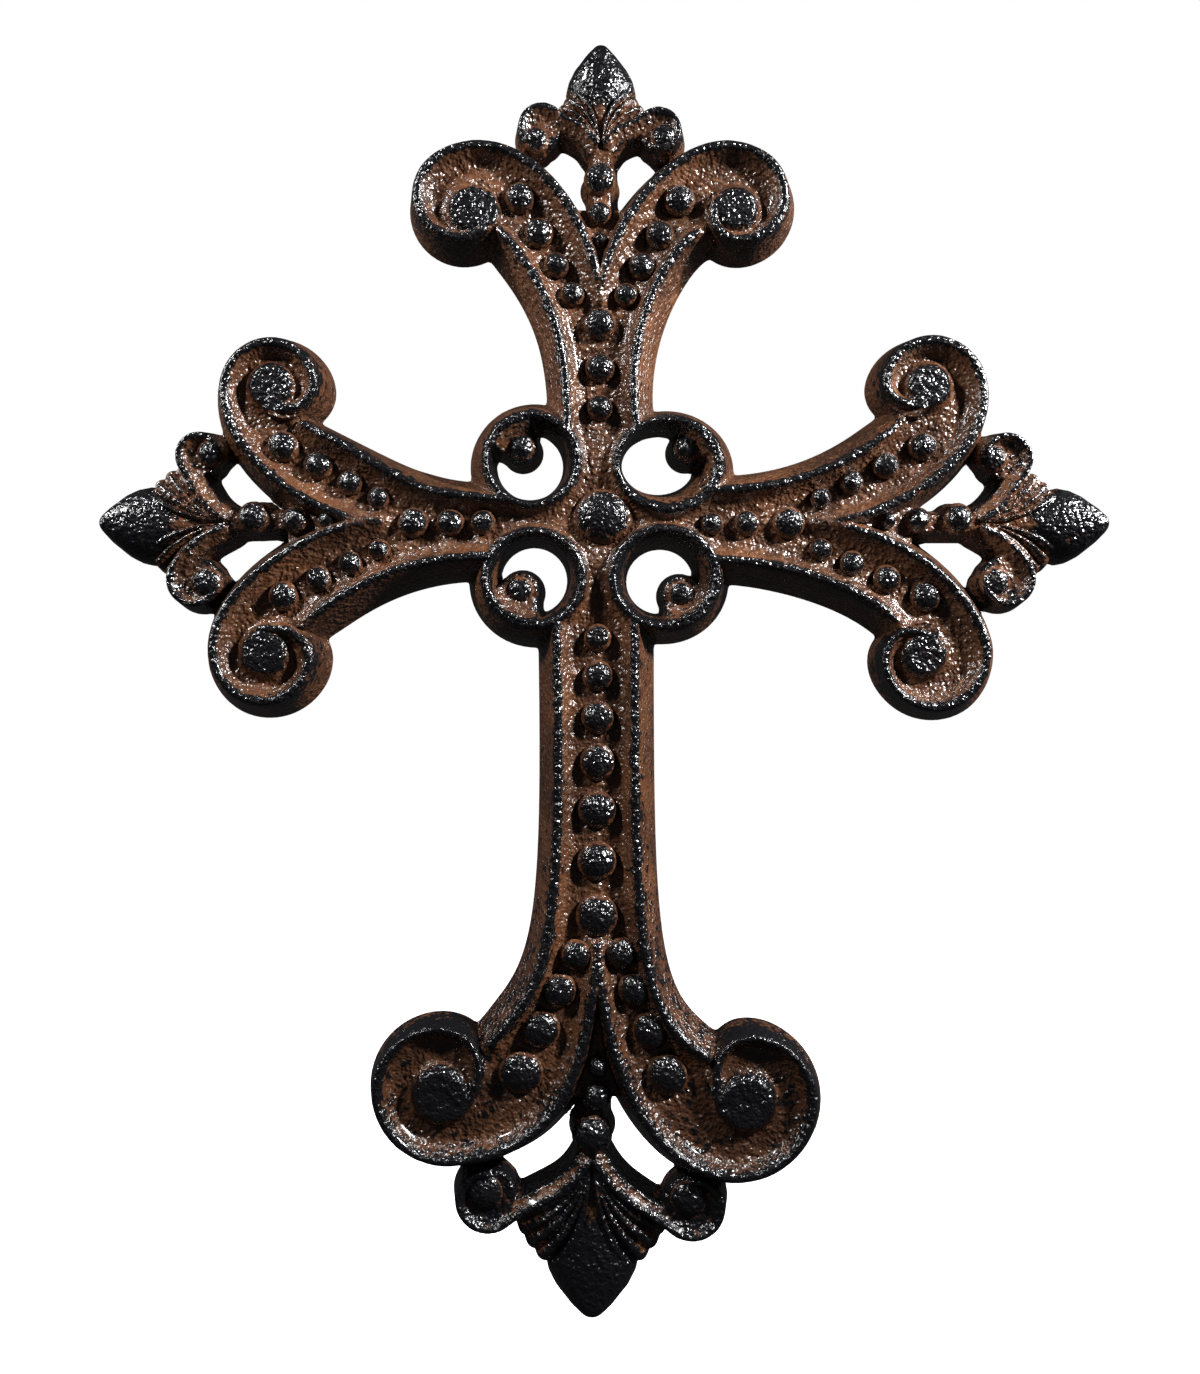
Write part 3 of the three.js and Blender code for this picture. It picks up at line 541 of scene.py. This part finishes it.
def bud(relief, arm):
    """The pointed bud: a full dome that narrows to a tongue at the root and to a tip."""
    along = heading(arm["heading"])
    across = np.array([-along[1], along[0]])
    root, reach, widest = np.array(arm["fan"]), arm["reach"], arm["bud_at"]
    part, px, pz = relief.around([root, root + along * reach], arm["bud_half"] + 3)
    place = np.stack([px, pz], -1) - root
    run, off = place @ along, np.abs(place @ across)
    full = arm["bud_half"] + BUD_FOOT
    stops = [widest * share for share in (0, 0.35, 0.62, 0.82)]
    stops += [widest + (reach - widest) * share for share in (0, 0.24, 0.46, 0.76, 0.9, 1)]
    halves = [1.2, 1.6] + [full * share for share in (0.4, 0.8, 1, 0.94, 0.81, 0.51, 0.31, 0.13)]
    half = np.interp(run, stops, halves)
    crown = np.interp(run, stops, [7.8, 8.2, 9.2, 9.8, 10, 10, 9.9, 9.6, 9.3, 8.9]) + PALMETTE_TOP - 9.4
    share, reached = off / np.maximum(half, 0.05), np.clip(run, 0, None) / reach
    dome = np.clip(1 - share ** 2.4, 0, 1) ** 0.45 * np.clip(1 - reached ** 80, 0, 1) ** 0.45
    beyond = -3 * (np.clip(off - half, 0, None) + np.clip(run - reach, 0, None))
    height = np.where((share < 1) & (reached < 1), crown * dome, beyond)
    relief.raise_to(part, np.where(run > 0, height, OUTSIDE), 0.4)
    relief.paint(part, (1 - smooth(0.75, 1.0, share)) * smooth(0.45, 0.85, run / widest) * (run < reach))


def fan(relief, arm):
    """The fluted leaves either side of the bud: ribs that rise like a fountain to scalloped ends."""
    first, last, count, length = arm["flutes"]
    root, axis, size = np.array(arm["fan"]), arm["heading"], length / 21
    for side in (1, -1):
        for i, lean in enumerate(np.linspace(first, last, count)):
            run = length * (1 - 0.045 * i) - 2.2 * size
            tip = root + run * heading(axis + side * lean)
            path = bezier(root, root + 0.4 * run * heading(axis + side * lean * 0.45),
                          tip - 0.4 * run * heading(axis + side * (lean * 1.1 + 14)), tip, 16)
            part, px, pz = relief.around(path, 5)
            distance, _, along = nearest(path, px, pz)
            half = np.interp(along, [0, 6, 12, 16], [0.35, 0.8, 1.3, 1.3]) * size
            crest = np.interp(along, [0, 5, 13, 16], [1.8, 3.3, 3.1, 1.6]) - 0.15 * i
            rib = WEB_FLOOR - 1.1 + crest * (1 - np.clip(distance / half, 0, 1) ** 2)
            ground = wall(np.clip(distance - half, 0, None), WEB_FLOOR - 1.1, 1.7, 1.0)
            relief.raise_to(part, np.where(distance < half, rib, ground), 0.1)
            relief.paint(part, 0.4 * (1 - smooth(0.1, 0.9, distance / half)))


def knobs(relief, arm):
    """A small scroll either side of a palmette: a stalk from its root that curls round a bead."""
    along = heading(arm["heading"])
    across = np.array([-along[1], along[0]])
    root = np.array(arm["fan"])
    for at, radius, _, _ in arm["knobs"]:
        at = np.array(at)
        side = math.copysign(1, (at - root) @ across)
        join_at = arm["heading"] - side * 38
        join = at + radius * heading(join_at)
        start = root + along * 1.5 + across * side * 1.2
        reach = np.hypot(*(join - start))
        stalk = bezier(start, start + reach * 0.4 * heading(arm["heading"] + side * 28),
                       join - reach * 0.45 * heading(join_at + side * 90), join, 16)
        turns = np.linspace(0, 1, 27)[1:]
        winding = [at + radius * (1 - 0.22 * t * t) * heading(join_at + side * 215 * t) for t in turns]
        path = np.vstack([stalk, winding])
        floor = WEB_FLOOR + 0.3
        disc(relief, at, radius - 0.3, floor, 0, 0.4, 0.3)
        rim(relief, path, 2.2, -side, PALMETTE_TOP + 0.2, floor, 2.2, 0.5, 0.6)
        part, px, pz = relief.around(path[:22], 7)
        distance, which, _ = nearest(path[:22], px, pz)
        ribbon = np.where(which == side, wall(distance - 2.2, floor, 2.1, 0.6), OUTSIDE)
        relief.raise_to(part, ribbon, 0.5)


def unevenness(relief, wave, seed):
    """Soft random waves, from a coarse grid of random heights read with smooth steps."""
    rows, columns = (int(n * relief.step / wave) + 3 for n in relief.height.shape)
    knots = np.random.default_rng(seed).uniform(-1, 1, (rows, columns))
    u = np.arange(relief.height.shape[0]) * relief.step / wave
    v = np.arange(relief.height.shape[1]) * relief.step / wave
    i, j = u.astype(int), v.astype(int)
    fu, fv = smooth(0, 1, u - i)[:, None], smooth(0, 1, v - j)[None, :]
    upper = knots[i][:, j] * (1 - fv) + knots[i][:, j + 1] * fv
    lower = knots[i + 1][:, j] * (1 - fv) + knots[i + 1][:, j + 1] * fv
    return upper * (1 - fu) + lower * fu


def soften(field, passes):
    """A small blur that repeats along both axes."""
    for _ in range(passes):
        field = (np.roll(field, 1, 0) + 2 * field + np.roll(field, -1, 0)) / 4
        field = (np.roll(field, 1, 1) + 2 * field + np.roll(field, -1, 1)) / 4
    return field


def face_relief(sizes):
    """The whole face, its lower forms first."""
    relief = Relief(sizes.mesh_step * 1000)
    hollow = dishes(relief, sizes.dish_depth * 1000)
    for arm in ARMS.values():
        fan(relief, arm)
        knobs(relief, arm)
        bud(relief, arm)
    webs(relief)
    for scroll in SCROLLS:
        scroll_floor(relief, scroll, hollow)
        scroll_rims(relief, scroll)
    eyes(relief)
    crossing(relief, hollow)
    rough = sizes.unevenness * 1000
    waves = unevenness(relief, 6.0, 3) * rough + unevenness(relief, 1.5, 5) * rough * 0.7
    solid = relief.height > 0.3
    relief.height = np.where(solid, relief.height + waves * smooth(0.3, 3, relief.height), relief.height)
    relief.height = np.minimum(relief.height, DEPTH)
    return relief


def pocket_depths(relief):
    """Depth of the keyhole in the back."""
    px, pz = np.meshgrid(relief.x, relief.z)
    at = np.array(KEYHOLE["at"])
    head = np.hypot(px - at[0], pz - at[1]) - KEYHOLE["head"]
    slot, _, _ = nearest([at, at + np.array([0, KEYHOLE["length"]])], px, pz)
    edge = np.minimum(head, slot - KEYHOLE["slot"])
    return KEYHOLE["depth"] * (1 - smooth(-0.35, 0.0, edge))


def rub_mask(relief):
    """Where the black catches: what was painted, and edges that stand proud of what is round them."""
    solid = np.clip(relief.height, 0, None)
    wide = soften(solid, int(round((2.2 / relief.step) ** 2 / 2)))
    proud = smooth(0.1, 1.6, solid - wide)
    steep = smooth(0.6, 2.0, np.hypot(*np.gradient(solid, relief.step)))
    return np.clip(0.2 + 0.36 * proud + 0.16 * steep + relief.rub, 0, 1)


def sample(relief, field, x, z):
    """A field of the relief read between its grid points."""
    u = np.clip((x - relief.x[0]) / relief.step, 0, len(relief.x) - 1.001)
    v = np.clip((z - relief.z[0]) / relief.step, 0, len(relief.z) - 1.001)
    i, j = u.astype(int), v.astype(int)
    fu, fv = u - i, v - j
    low = field[j, i] * (1 - fu) + field[j, i + 1] * fu
    high = field[j + 1, i] * (1 - fu) + field[j + 1, i + 1] * fu
    return low * (1 - fv) + high * fv


def outline_points(relief, outer):
    """Grid places, with those just outside the casting drawn onto its outline."""
    height = relief.height
    px, pz = np.meshgrid(relief.x, relief.z)
    moved, weight = np.zeros((2, *height.shape)), np.zeros(height.shape)
    for dj, di in ((0, 1), (0, -1), (1, 0), (-1, 0), (1, 1), (1, -1), (-1, 1), (-1, -1)):
        beside = np.roll(height, (-dj, -di), (0, 1))
        crosses = outer & (beside > 0)
        share = np.where(crosses, height / np.where(crosses, height - beside, 1), 0)
        pull = crosses / (dj * dj + di * di) ** 2
        moved += np.array([di, dj])[:, None, None] * relief.step * share * pull
        weight += pull
    drawn = moved / np.maximum(weight, 1e-9)
    px, pz = px + drawn[0], pz + drawn[1]
    for _ in range(3):
        near_x, near_z, count = np.zeros((3, *height.shape))
        for dj in (-1, 0, 1):
            for di in (-1, 0, 1):
                there = np.roll(outer, (dj, di), (0, 1)) & outer & ((dj, di) != (0, 0))
                near_x += there * np.roll(px, (dj, di), (0, 1))
                near_z += there * np.roll(pz, (dj, di), (0, 1))
                count += there
        evened = outer & (count > 1)
        px = np.where(evened, 0.4 * px + 0.6 * near_x / np.maximum(count, 1), px)
        pz = np.where(evened, 0.4 * pz + 0.6 * near_z / np.maximum(count, 1), pz)
    return np.clip(px, LOW.x, HIGH.x), np.clip(pz, LOW.z, HIGH.z)


def relief_mesh(relief):
    """A closed mesh: the face, the flat back with its keyhole, and an outline on the contour."""
    height = relief.height
    solid = height > 0
    cell = solid[:-1, :-1] | solid[1:, :-1] | solid[:-1, 1:] | solid[1:, 1:]
    used = np.zeros_like(solid)
    for rows, columns in ((slice(0, -1), slice(0, -1)), (slice(1, None), slice(0, -1)),
                          (slice(0, -1), slice(1, None)), (slice(1, None), slice(1, None))):
        used[rows, columns] |= cell
    px, pz = outline_points(relief, used & ~solid)
    front = np.full(height.shape, -1)
    front[used] = np.arange(used.sum())
    behind = front.copy()
    behind[solid] = used.sum() + np.arange(solid.sum())
    depth = pocket_depths(relief)
    points = np.concatenate([
        np.stack([px[used], -np.clip(height[used], 0, None), pz[used]], 1),
        np.stack([px[solid], -depth[solid], pz[solid]], 1),
    ]) / 1000
    j, i = np.nonzero(cell)
    corners = ((j, i), (j, i + 1), (j + 1, i + 1), (j + 1, i))
    faces = np.concatenate([
        np.stack([front[c] for c in corners], 1),
        np.stack([behind[c] for c in corners[::-1]], 1),
    ])
    mesh = bpy.data.meshes.new("cast_cross")
    mesh.from_pydata(points, [], faces)
    mesh.validate()
    return mesh


# Node trees

class Value:
    """A number socket that can stand in a sum."""

    def __init__(self, graph, socket):
        self.graph, self.socket = graph, socket

    def math(self, operation, *others):
        inputs = dict(enumerate((self, *others)))
        return self.graph.node("ShaderNodeMath", dict(operation=operation), inputs)[0]

    def __add__(self, other):
        return self.math("ADD", other)

    __radd__ = __add__

    def __mul__(self, other):
        return self.math("MULTIPLY", other)

    __rmul__ = __mul__

    def __sub__(self, other):
        return self.math("SUBTRACT", other)

    def __rsub__(self, other):
        return self * -1 + other

    def __truediv__(self, other):
        return self.math("DIVIDE", other)

    def between(self, low, high):
        """0 below low, 1 above high, and smooth from one to the other."""
        ramp = self.graph.node("ShaderNodeMapRange", dict(interpolation_type="SMOOTHSTEP"),
                               {"Value": self, "From Min": low, "From Max": high})
        return ramp[0]


class Graph:
    """A node tree, built one node at a time."""

    def __init__(self, tree):
        self.tree = tree

    def node(self, kind, settings=None, inputs=None):
        """Adds a node: its settings first, then the values or links of its sockets. Returns its outputs."""
        made = self.tree.nodes.new(kind)
        for name, value in (settings or {}).items():
            setattr(made, name, value)
        for key, value in (inputs or {}).items():
            self.feed(made.inputs[key], value)
        return [Value(self, socket) for socket in made.outputs]

    def feed(self, socket, value):
        """Links a value to a socket, or sets the socket's own number or colour."""
        if isinstance(value, Value):
            self.tree.links.new(value.socket, socket)
        else:
            socket.default_value = value

    def mix(self, share, first, second):
        """A colour between two colours."""
        made = self.tree.nodes.new("ShaderNodeMix")
        made.data_type = "RGBA"
        for key, value in (("Factor_Float", share), ("A_Color", first), ("B_Color", second)):
            self.feed(next(s for s in made.inputs if s.identifier == key), value)
        return Value(self, next(s for s in made.outputs if s.identifier == "Result_Color"))


def named_input(tree, name, kind, value, **limits):
    """An input of a Geometry Nodes tree, with its default and limits."""
    socket = tree.interface.new_socket(name, in_out="INPUT", socket_type=kind)
    socket.default_value = value
    for key, limit in limits.items():
        setattr(socket, key, limit)


def bead_tree(material):
    """Beads along a straight row, each a little uneven, their size changing from end to end."""
    tree = bpy.data.node_groups.new("Bead row", "GeometryNodeTree")
    tree.interface.new_socket("Geometry", in_out="OUTPUT", socket_type="NodeSocketGeometry")
    named_input(tree, "First place", "NodeSocketVector", (0, 0, 0))
    named_input(tree, "Last place", "NodeSocketVector", (0, 0, 0))
    named_input(tree, "Count", "NodeSocketInt", 4, min_value=1)
    named_input(tree, "First radius", "NodeSocketFloat", 0.003, min_value=0.0005)
    named_input(tree, "Last radius", "NodeSocketFloat", 0.003, min_value=0.0005)
    named_input(tree, "Rise", "NodeSocketFloat", 0.003, min_value=0.0005)
    named_input(tree, "Seed", "NodeSocketInt", 0)
    graph = Graph(tree)
    first, last, count, first_radius, last_radius, rise, seed, _ = graph.node("NodeGroupInput")
    index = graph.node("GeometryNodeInputIndex")[0]
    steps = (count - 1).math("MAXIMUM", 1)
    growth = (last_radius - first_radius) / steps
    share = (2 * first_radius * index + growth * index * index) / (
        2 * first_radius * steps + growth * steps * steps)
    place = graph.node("ShaderNodeMix", dict(data_type="VECTOR"), {0: share, 4: first, 5: last})[1]
    points = graph.node("GeometryNodePoints", None, {"Count": count, "Position": place})[0]
    radius = first_radius + growth * index
    wobble = graph.node("FunctionNodeRandomValue", dict(data_type="FLOAT"),
                        {2: 0.9, 3: 1.08, "ID": index, "Seed": seed})[1]
    turn = graph.node("FunctionNodeRandomValue", dict(data_type="FLOAT"),
                      {2: 0.0, 3: math.tau, "ID": index, "Seed": seed + 7})[1]
    size = graph.node("ShaderNodeCombineXYZ", None, {0: radius * wobble, 1: rise, 2: radius})[0]
    spin = graph.node("ShaderNodeCombineXYZ", None, {1: turn})[0]
    ball = graph.node("GeometryNodeMeshUVSphere", None, {"Segments": 22, "Rings": 12, "Radius": 1.0})[0]
    stand = graph.node("ShaderNodeCombineXYZ", None, {0: math.pi / 2})[0]
    ball = graph.node("GeometryNodeTransform", None, {"Geometry": ball, "Rotation": stand})[0]
    position = graph.node("GeometryNodeInputPosition")[0]
    out = graph.node("ShaderNodeSeparateXYZ", None, {0: position})[1] * -1
    ball = graph.node("GeometryNodeStoreNamedAttribute", dict(data_type="FLOAT", domain="POINT"),
                      {"Geometry": ball, "Name": "rub", "Value": out.between(0.15, 0.85)})[0]
    beads = graph.node("GeometryNodeInstanceOnPoints", None,
                       {"Points": points, "Instance": ball, "Rotation": spin, "Scale": size})[0]
    beads = graph.node("GeometryNodeRealizeInstances", None, {0: beads})[0]
    beads = graph.node("GeometryNodeSetShadeSmooth", None, {"Geometry": beads})[0]
    beads = graph.node("GeometryNodeSetMaterial", None, {"Geometry": beads, "Material": material})[0]
    graph.node("NodeGroupOutput", None, {0: beads})
    return tree


def grown(name, tree, values):
    """A plain mesh object from a tree and the values of its named inputs."""
    thing = bpy.data.objects.new(name, bpy.data.meshes.new(name))
    bpy.context.scene.collection.objects.link(thing)
    modifier = thing.modifiers.new(name, "NODES")
    modifier.node_group = tree
    sockets = {s.name: s.identifier for s in tree.interface.items_tree if s.in_out == "INPUT"}
    for key, value in values.items():
        modifier[sockets[key]] = value
    return baked(thing)


def baked(thing):
    """Turns an object's modifiers into a plain mesh, and takes them away."""
    graph = bpy.context.evaluated_depsgraph_get()
    mesh = bpy.data.meshes.new_from_object(thing.evaluated_get(graph), depsgraph=graph)
    thing.modifiers.clear()
    thing.data = mesh
    return thing


# Finish

def iron(colours):
    """Brown rusted iron with black rubbed onto the high places, and painted shade that blackens it towards
    the foot, under a thin clear wax.
    """
    material = bpy.data.materials.new("rubbed_iron")
    material.use_nodes = True
    material.node_tree.nodes.clear()
    graph = Graph(material.node_tree)
    place = graph.node("ShaderNodeTexCoord")[3]
    rub = graph.node("ShaderNodeAttribute", dict(attribute_name="rub"))[2]

    def noise(scale, detail, rough=0.5):
        return graph.node("ShaderNodeTexNoise", None,
                          {"Vector": place, "Scale": scale, "Detail": detail, "Roughness": rough})[0]

    patches, mottle = noise(70, 3), noise(260, 3)
    grain, fine = noise(780, 1, 0.45), noise(1500, 0)
    height = graph.node("ShaderNodeSeparateXYZ", None, {0: place})[2]
    # Painted shade: black is added from 20 mm below the crossing, fully by 170 mm, so the lower cross darkens
    # as if the light fell off towards the foot.
    low = (0 - height).between(0.02, 0.17)
    black = (rub + low * 0.3 + (mottle - 0.5) * 0.8 + (grain - 0.5) * 1.2).between(0.5, 0.74)
    rust = graph.mix(patches.between(0.35, 0.7), tuple(colours.dark_rust) + (1,), tuple(colours.rust) + (1,))
    rust = graph.mix(grain.between(0.5, 0.7) * 0.4, rust, tuple(colours.pale_rust) + (1,))
    colour = graph.mix(black, rust, tuple(colours.black) + (1,))
    rough = 0.3 - 0.06 * black + (fine - 0.5) * 0.3
    lift = grain * 0.9 + fine * 0.3
    bump = graph.node("ShaderNodeBump", None,
                      {"Strength": 1.0, "Distance": colours.grain_depth, "Height": lift})[0]
    surface = graph.node("ShaderNodeBsdfPrincipled", None, {
        "Base Color": colour, "Roughness": rough, "Metallic": 0.0, "IOR": 1.5,
        "Specular IOR Level": 0.6, "Coat Weight": 0.25, "Coat Roughness": 0.12, "Normal": bump,
    })[0]
    graph.node("ShaderNodeOutputMaterial", None, {"Surface": surface})
    return material


def plain(name, colour, rough, glow):
    """One colour all over, that also gives off white light."""
    material = bpy.data.materials.new(name)
    material.use_nodes = True
    surface = material.node_tree.nodes["Principled BSDF"]
    surface.inputs["Base Color"].default_value = (*colour, 1)
    surface.inputs["Roughness"].default_value = rough
    surface.inputs["Emission Color"].default_value = WHITE
    surface.inputs["Emission Strength"].default_value = glow
    return material


# Settings

class CrossSizes(bpy.types.PropertyGroup):
    mesh_step: bpy.props.FloatProperty(
        name="Mesh step", description="Spacing of the grid that the relief is worked out on",
        default=0.0003, min=0.0002, max=0.001, unit="LENGTH", precision=5)
    triangles: bpy.props.IntProperty(
        name="Triangles", description="How many triangles the casting keeps, its beads left out",
        default=150000, min=20000, max=170000)
    dish_depth: bpy.props.FloatProperty(
        name="Dish depth", description="How deep the channel is dished round each bead",
        default=0.0009, min=0.0, max=0.002, unit="LENGTH", precision=4)
    unevenness: bpy.props.FloatProperty(
        name="Unevenness", description="Height of the soft waves that hand carving leaves",
        default=0.00015, min=0.0, max=0.0004, unit="LENGTH", precision=5)


class CrossColours(bpy.types.PropertyGroup):
    rust: bpy.props.FloatVectorProperty(
        name="Rust", description="Brown of the channels and sides", subtype="COLOR", size=3,
        default=(0.105, 0.041, 0.018), min=0, max=1)
    dark_rust: bpy.props.FloatVectorProperty(
        name="Dark rust", description="Brown of the darker patches", subtype="COLOR", size=3,
        default=(0.045, 0.018, 0.009), min=0, max=1)
    pale_rust: bpy.props.FloatVectorProperty(
        name="Pale rust", description="Dusty brown on the tips of the grain", subtype="COLOR", size=3,
        default=(0.24, 0.12, 0.06), min=0, max=1)
    # Also the colour of the painted shade that darkens the lower cross.
    black: bpy.props.FloatVectorProperty(
        name="Black", description="Black rubbed onto the crests and beads", subtype="COLOR", size=3,
        default=(0.004, 0.004, 0.005), min=0, max=1)
    grain_depth: bpy.props.FloatProperty(
        name="Grain depth", description="Height of the sand grain", default=0.0009, min=0.0, max=0.002,
        unit="LENGTH", precision=5)


class StageSettings(bpy.types.PropertyGroup):
    distance: bpy.props.FloatProperty(
        name="Camera distance", description="From the camera to the crests of the rims",
        default=0.299, min=0.1, unit="LENGTH")
    eye_height: bpy.props.FloatProperty(
        name="Camera height", description="Height of the camera, measured from the crossing",
        default=-0.04086, unit="LENGTH", precision=5)
    lens: bpy.props.FloatProperty(
        name="Lens", description="Focal length of the camera in millimetres", default=33.55, min=10)
    floor_colour: bpy.props.FloatVectorProperty(
        name="Floor", description="Colour of the floor", subtype="COLOR", size=3,
        default=(0.86, 0.86, 0.86), min=0, max=1)


# Operators

class CROSS_OT_casting(bpy.types.Operator):
    """Make the casting: the relief of the face, its flat back and its beads, as one piece"""
    bl_idname = "cross.casting"
    bl_label = "Casting"

    def execute(self, context):
        sizes, scene = context.scene.cross_sizes, context.scene
        material = iron(scene.cross_colours)
        relief = face_relief(sizes)
        casting = bpy.data.objects.new("cast_cross", relief_mesh(relief))
        scene.collection.objects.link(casting)
        found = sum(len(p.vertices) - 2 for p in casting.data.polygons)
        thin = casting.modifiers.new("thin", "DECIMATE")
        thin.ratio = min(1.0, sizes.triangles / found)
        baked(casting)
        mesh = casting.data
        points = np.empty(len(mesh.vertices) * 3)
        mesh.vertices.foreach_get("co", points)
        points = np.clip(points.reshape(-1, 3), np.array(LOW) / 1000, np.array(HIGH) / 1000)
        mesh.vertices.foreach_set("co", points.ravel())
        x, y, z = points.T * 1000
        face = smooth(1.0, 4.0, -y)
        rub = sample(relief, rub_mask(relief), x, z) * face + 0.38 * (1 - face)
        mesh.attributes.new("rub", "FLOAT", "POINT").data.foreach_set("value", rub.astype(np.float32))
        mesh.polygons.foreach_set("use_smooth", np.ones(len(mesh.polygons), bool))
        mesh.set_sharp_from_angle(angle=math.radians(75))
        mesh.materials.clear()
        mesh.materials.append(material)
        beads = self.beads(bead_tree(material))
        with context.temp_override(active_object=casting, selected_editable_objects=[casting, *beads]):
            bpy.ops.object.join()
        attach(casting, "root")
        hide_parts("cross")
        return {"FINISHED"}

    def beads(self, tree):
        rows = [(*row, CHANNEL_FLOOR, BEAD_TOP) for row in BEAD_ROWS]
        rows += [((x, z), (x, z), 1, (r, r), base, top) for x, z, r, base, top in single_beads()]
        made = []
        for i, (first, last, count, radii, base, top) in enumerate(rows):
            foot = base - BEAD_SUNK
            made.append(grown(f"bead_row_{i + 1}", tree, {
                "First place": (first[0] / 1000, -foot / 1000, first[1] / 1000),
                "Last place": (last[0] / 1000, -foot / 1000, last[1] / 1000),
                "Count": count, "First radius": radii[0] * BEAD_SPREAD / 1000,
                "Last radius": radii[1] * BEAD_SPREAD / 1000, "Rise": (top - foot) / 1000, "Seed": i,
            }))
        return made


class CROSS_OT_stage(bpy.types.Operator):
    """Set the pale floor, the soft lights and the camera"""
    bl_idname = "cross.stage"
    bl_label = "Studio"

    def execute(self, context):
        scene, stage = context.scene, context.scene.cross_stage
        self.floor(scene, plain("studio_paper", stage.floor_colour, 0.9, 1.0))
        for name, place, target, size, power, beam in LIGHTS:
            self.light(scene, name, Vector(place), Vector(target), size, power, beam)
        self.world(scene)
        self.camera(scene, stage)
        scene.view_settings.view_transform = "Standard"
        return {"FINISHED"}

    def floor(self, scene, paper):
        """A pale floor below the cross, as white as what is behind it, that throws no light back."""
        level, half = LOW.z / 1000 - FLOOR_GAP, FLOOR_HALF
        points = [(-half, -half, level), (half, -half, level), (half, half, level), (-half, half, level)]
        mesh = bpy.data.meshes.new("studio_floor")
        mesh.from_pydata(points, [], [(0, 1, 2, 3)])
        mesh.materials.append(paper)
        floor_object = bpy.data.objects.new("studio_floor", mesh)
        floor_object.visible_diffuse = floor_object.visible_glossy = False
        scene.collection.objects.link(floor_object)

    def light(self, scene, name, place, target, size, power, beam):
        """A square softbox that points at a place."""
        lamp = bpy.data.lights.new(name, "AREA")
        lamp.shape, lamp.size, lamp.energy, lamp.spread = "SQUARE", size, power, math.radians(beam)
        holder = bpy.data.objects.new(name, lamp)
        holder.location = place
        holder.rotation_euler = (target - place).to_track_quat("-Z", "Y").to_euler()
        scene.collection.objects.link(holder)

    def world(self, scene):
        """White where the camera sees it, and a faint fill for the iron."""
        world = bpy.data.worlds.new("studio")
        world.use_nodes = True
        world.node_tree.nodes.clear()
        graph = Graph(world.node_tree)
        seen = graph.node("ShaderNodeLightPath")[0]
        colour = graph.mix(seen, FILL, WHITE)
        light = graph.node("ShaderNodeBackground", None, {"Color": colour, "Strength": 1.0})[0]
        graph.node("ShaderNodeOutputWorld", None, {"Surface": light})
        scene.world = world

    def camera(self, scene, stage):
        camera = bpy.data.cameras.new("camera")
        camera.lens = stage.lens
        camera.clip_start = 0.01
        holder = bpy.data.objects.new("camera", camera)
        holder.location = (0, -(RIM_TOP / 1000 + stage.distance), stage.eye_height)
        holder.rotation_euler = (math.pi / 2, 0, 0)
        scene.collection.objects.link(holder)
        scene.camera = holder


class CROSS_PT_panel(bpy.types.Panel):
    """Settings and steps of the wall cross"""
    bl_idname = "CROSS_PT_panel"
    bl_label = "Wall Cross"
    bl_space_type = "VIEW_3D"
    bl_region_type = "UI"
    bl_category = "Wall Cross"

    def draw(self, context):
        for settings in (context.scene.cross_sizes, context.scene.cross_colours, context.scene.cross_stage):
            box = self.layout.box()
            for name in settings.__annotations__:
                box.prop(settings, name)
        for step in (CROSS_OT_casting, CROSS_OT_stage):
            self.layout.operator(step.bl_idname)


CLASSES = (CrossSizes, CrossColours, StageSettings, CROSS_OT_casting, CROSS_OT_stage, CROSS_PT_panel)
SETTINGS = {"cross_sizes": CrossSizes, "cross_colours": CrossColours, "cross_stage": StageSettings}


def register():
    for item in CLASSES:
        bpy.utils.register_class(item)
    for name, group in SETTINGS.items():
        setattr(bpy.types.Scene, name, bpy.props.PointerProperty(type=group))


def unregister():
    for name in SETTINGS:
        delattr(bpy.types.Scene, name)
    for item in reversed(CLASSES):
        bpy.utils.unregister_class(item)


def main():
    register()
    bpy.ops.cross.casting()
    bpy.ops.cross.stage()


if __name__ == "__main__":
    main()
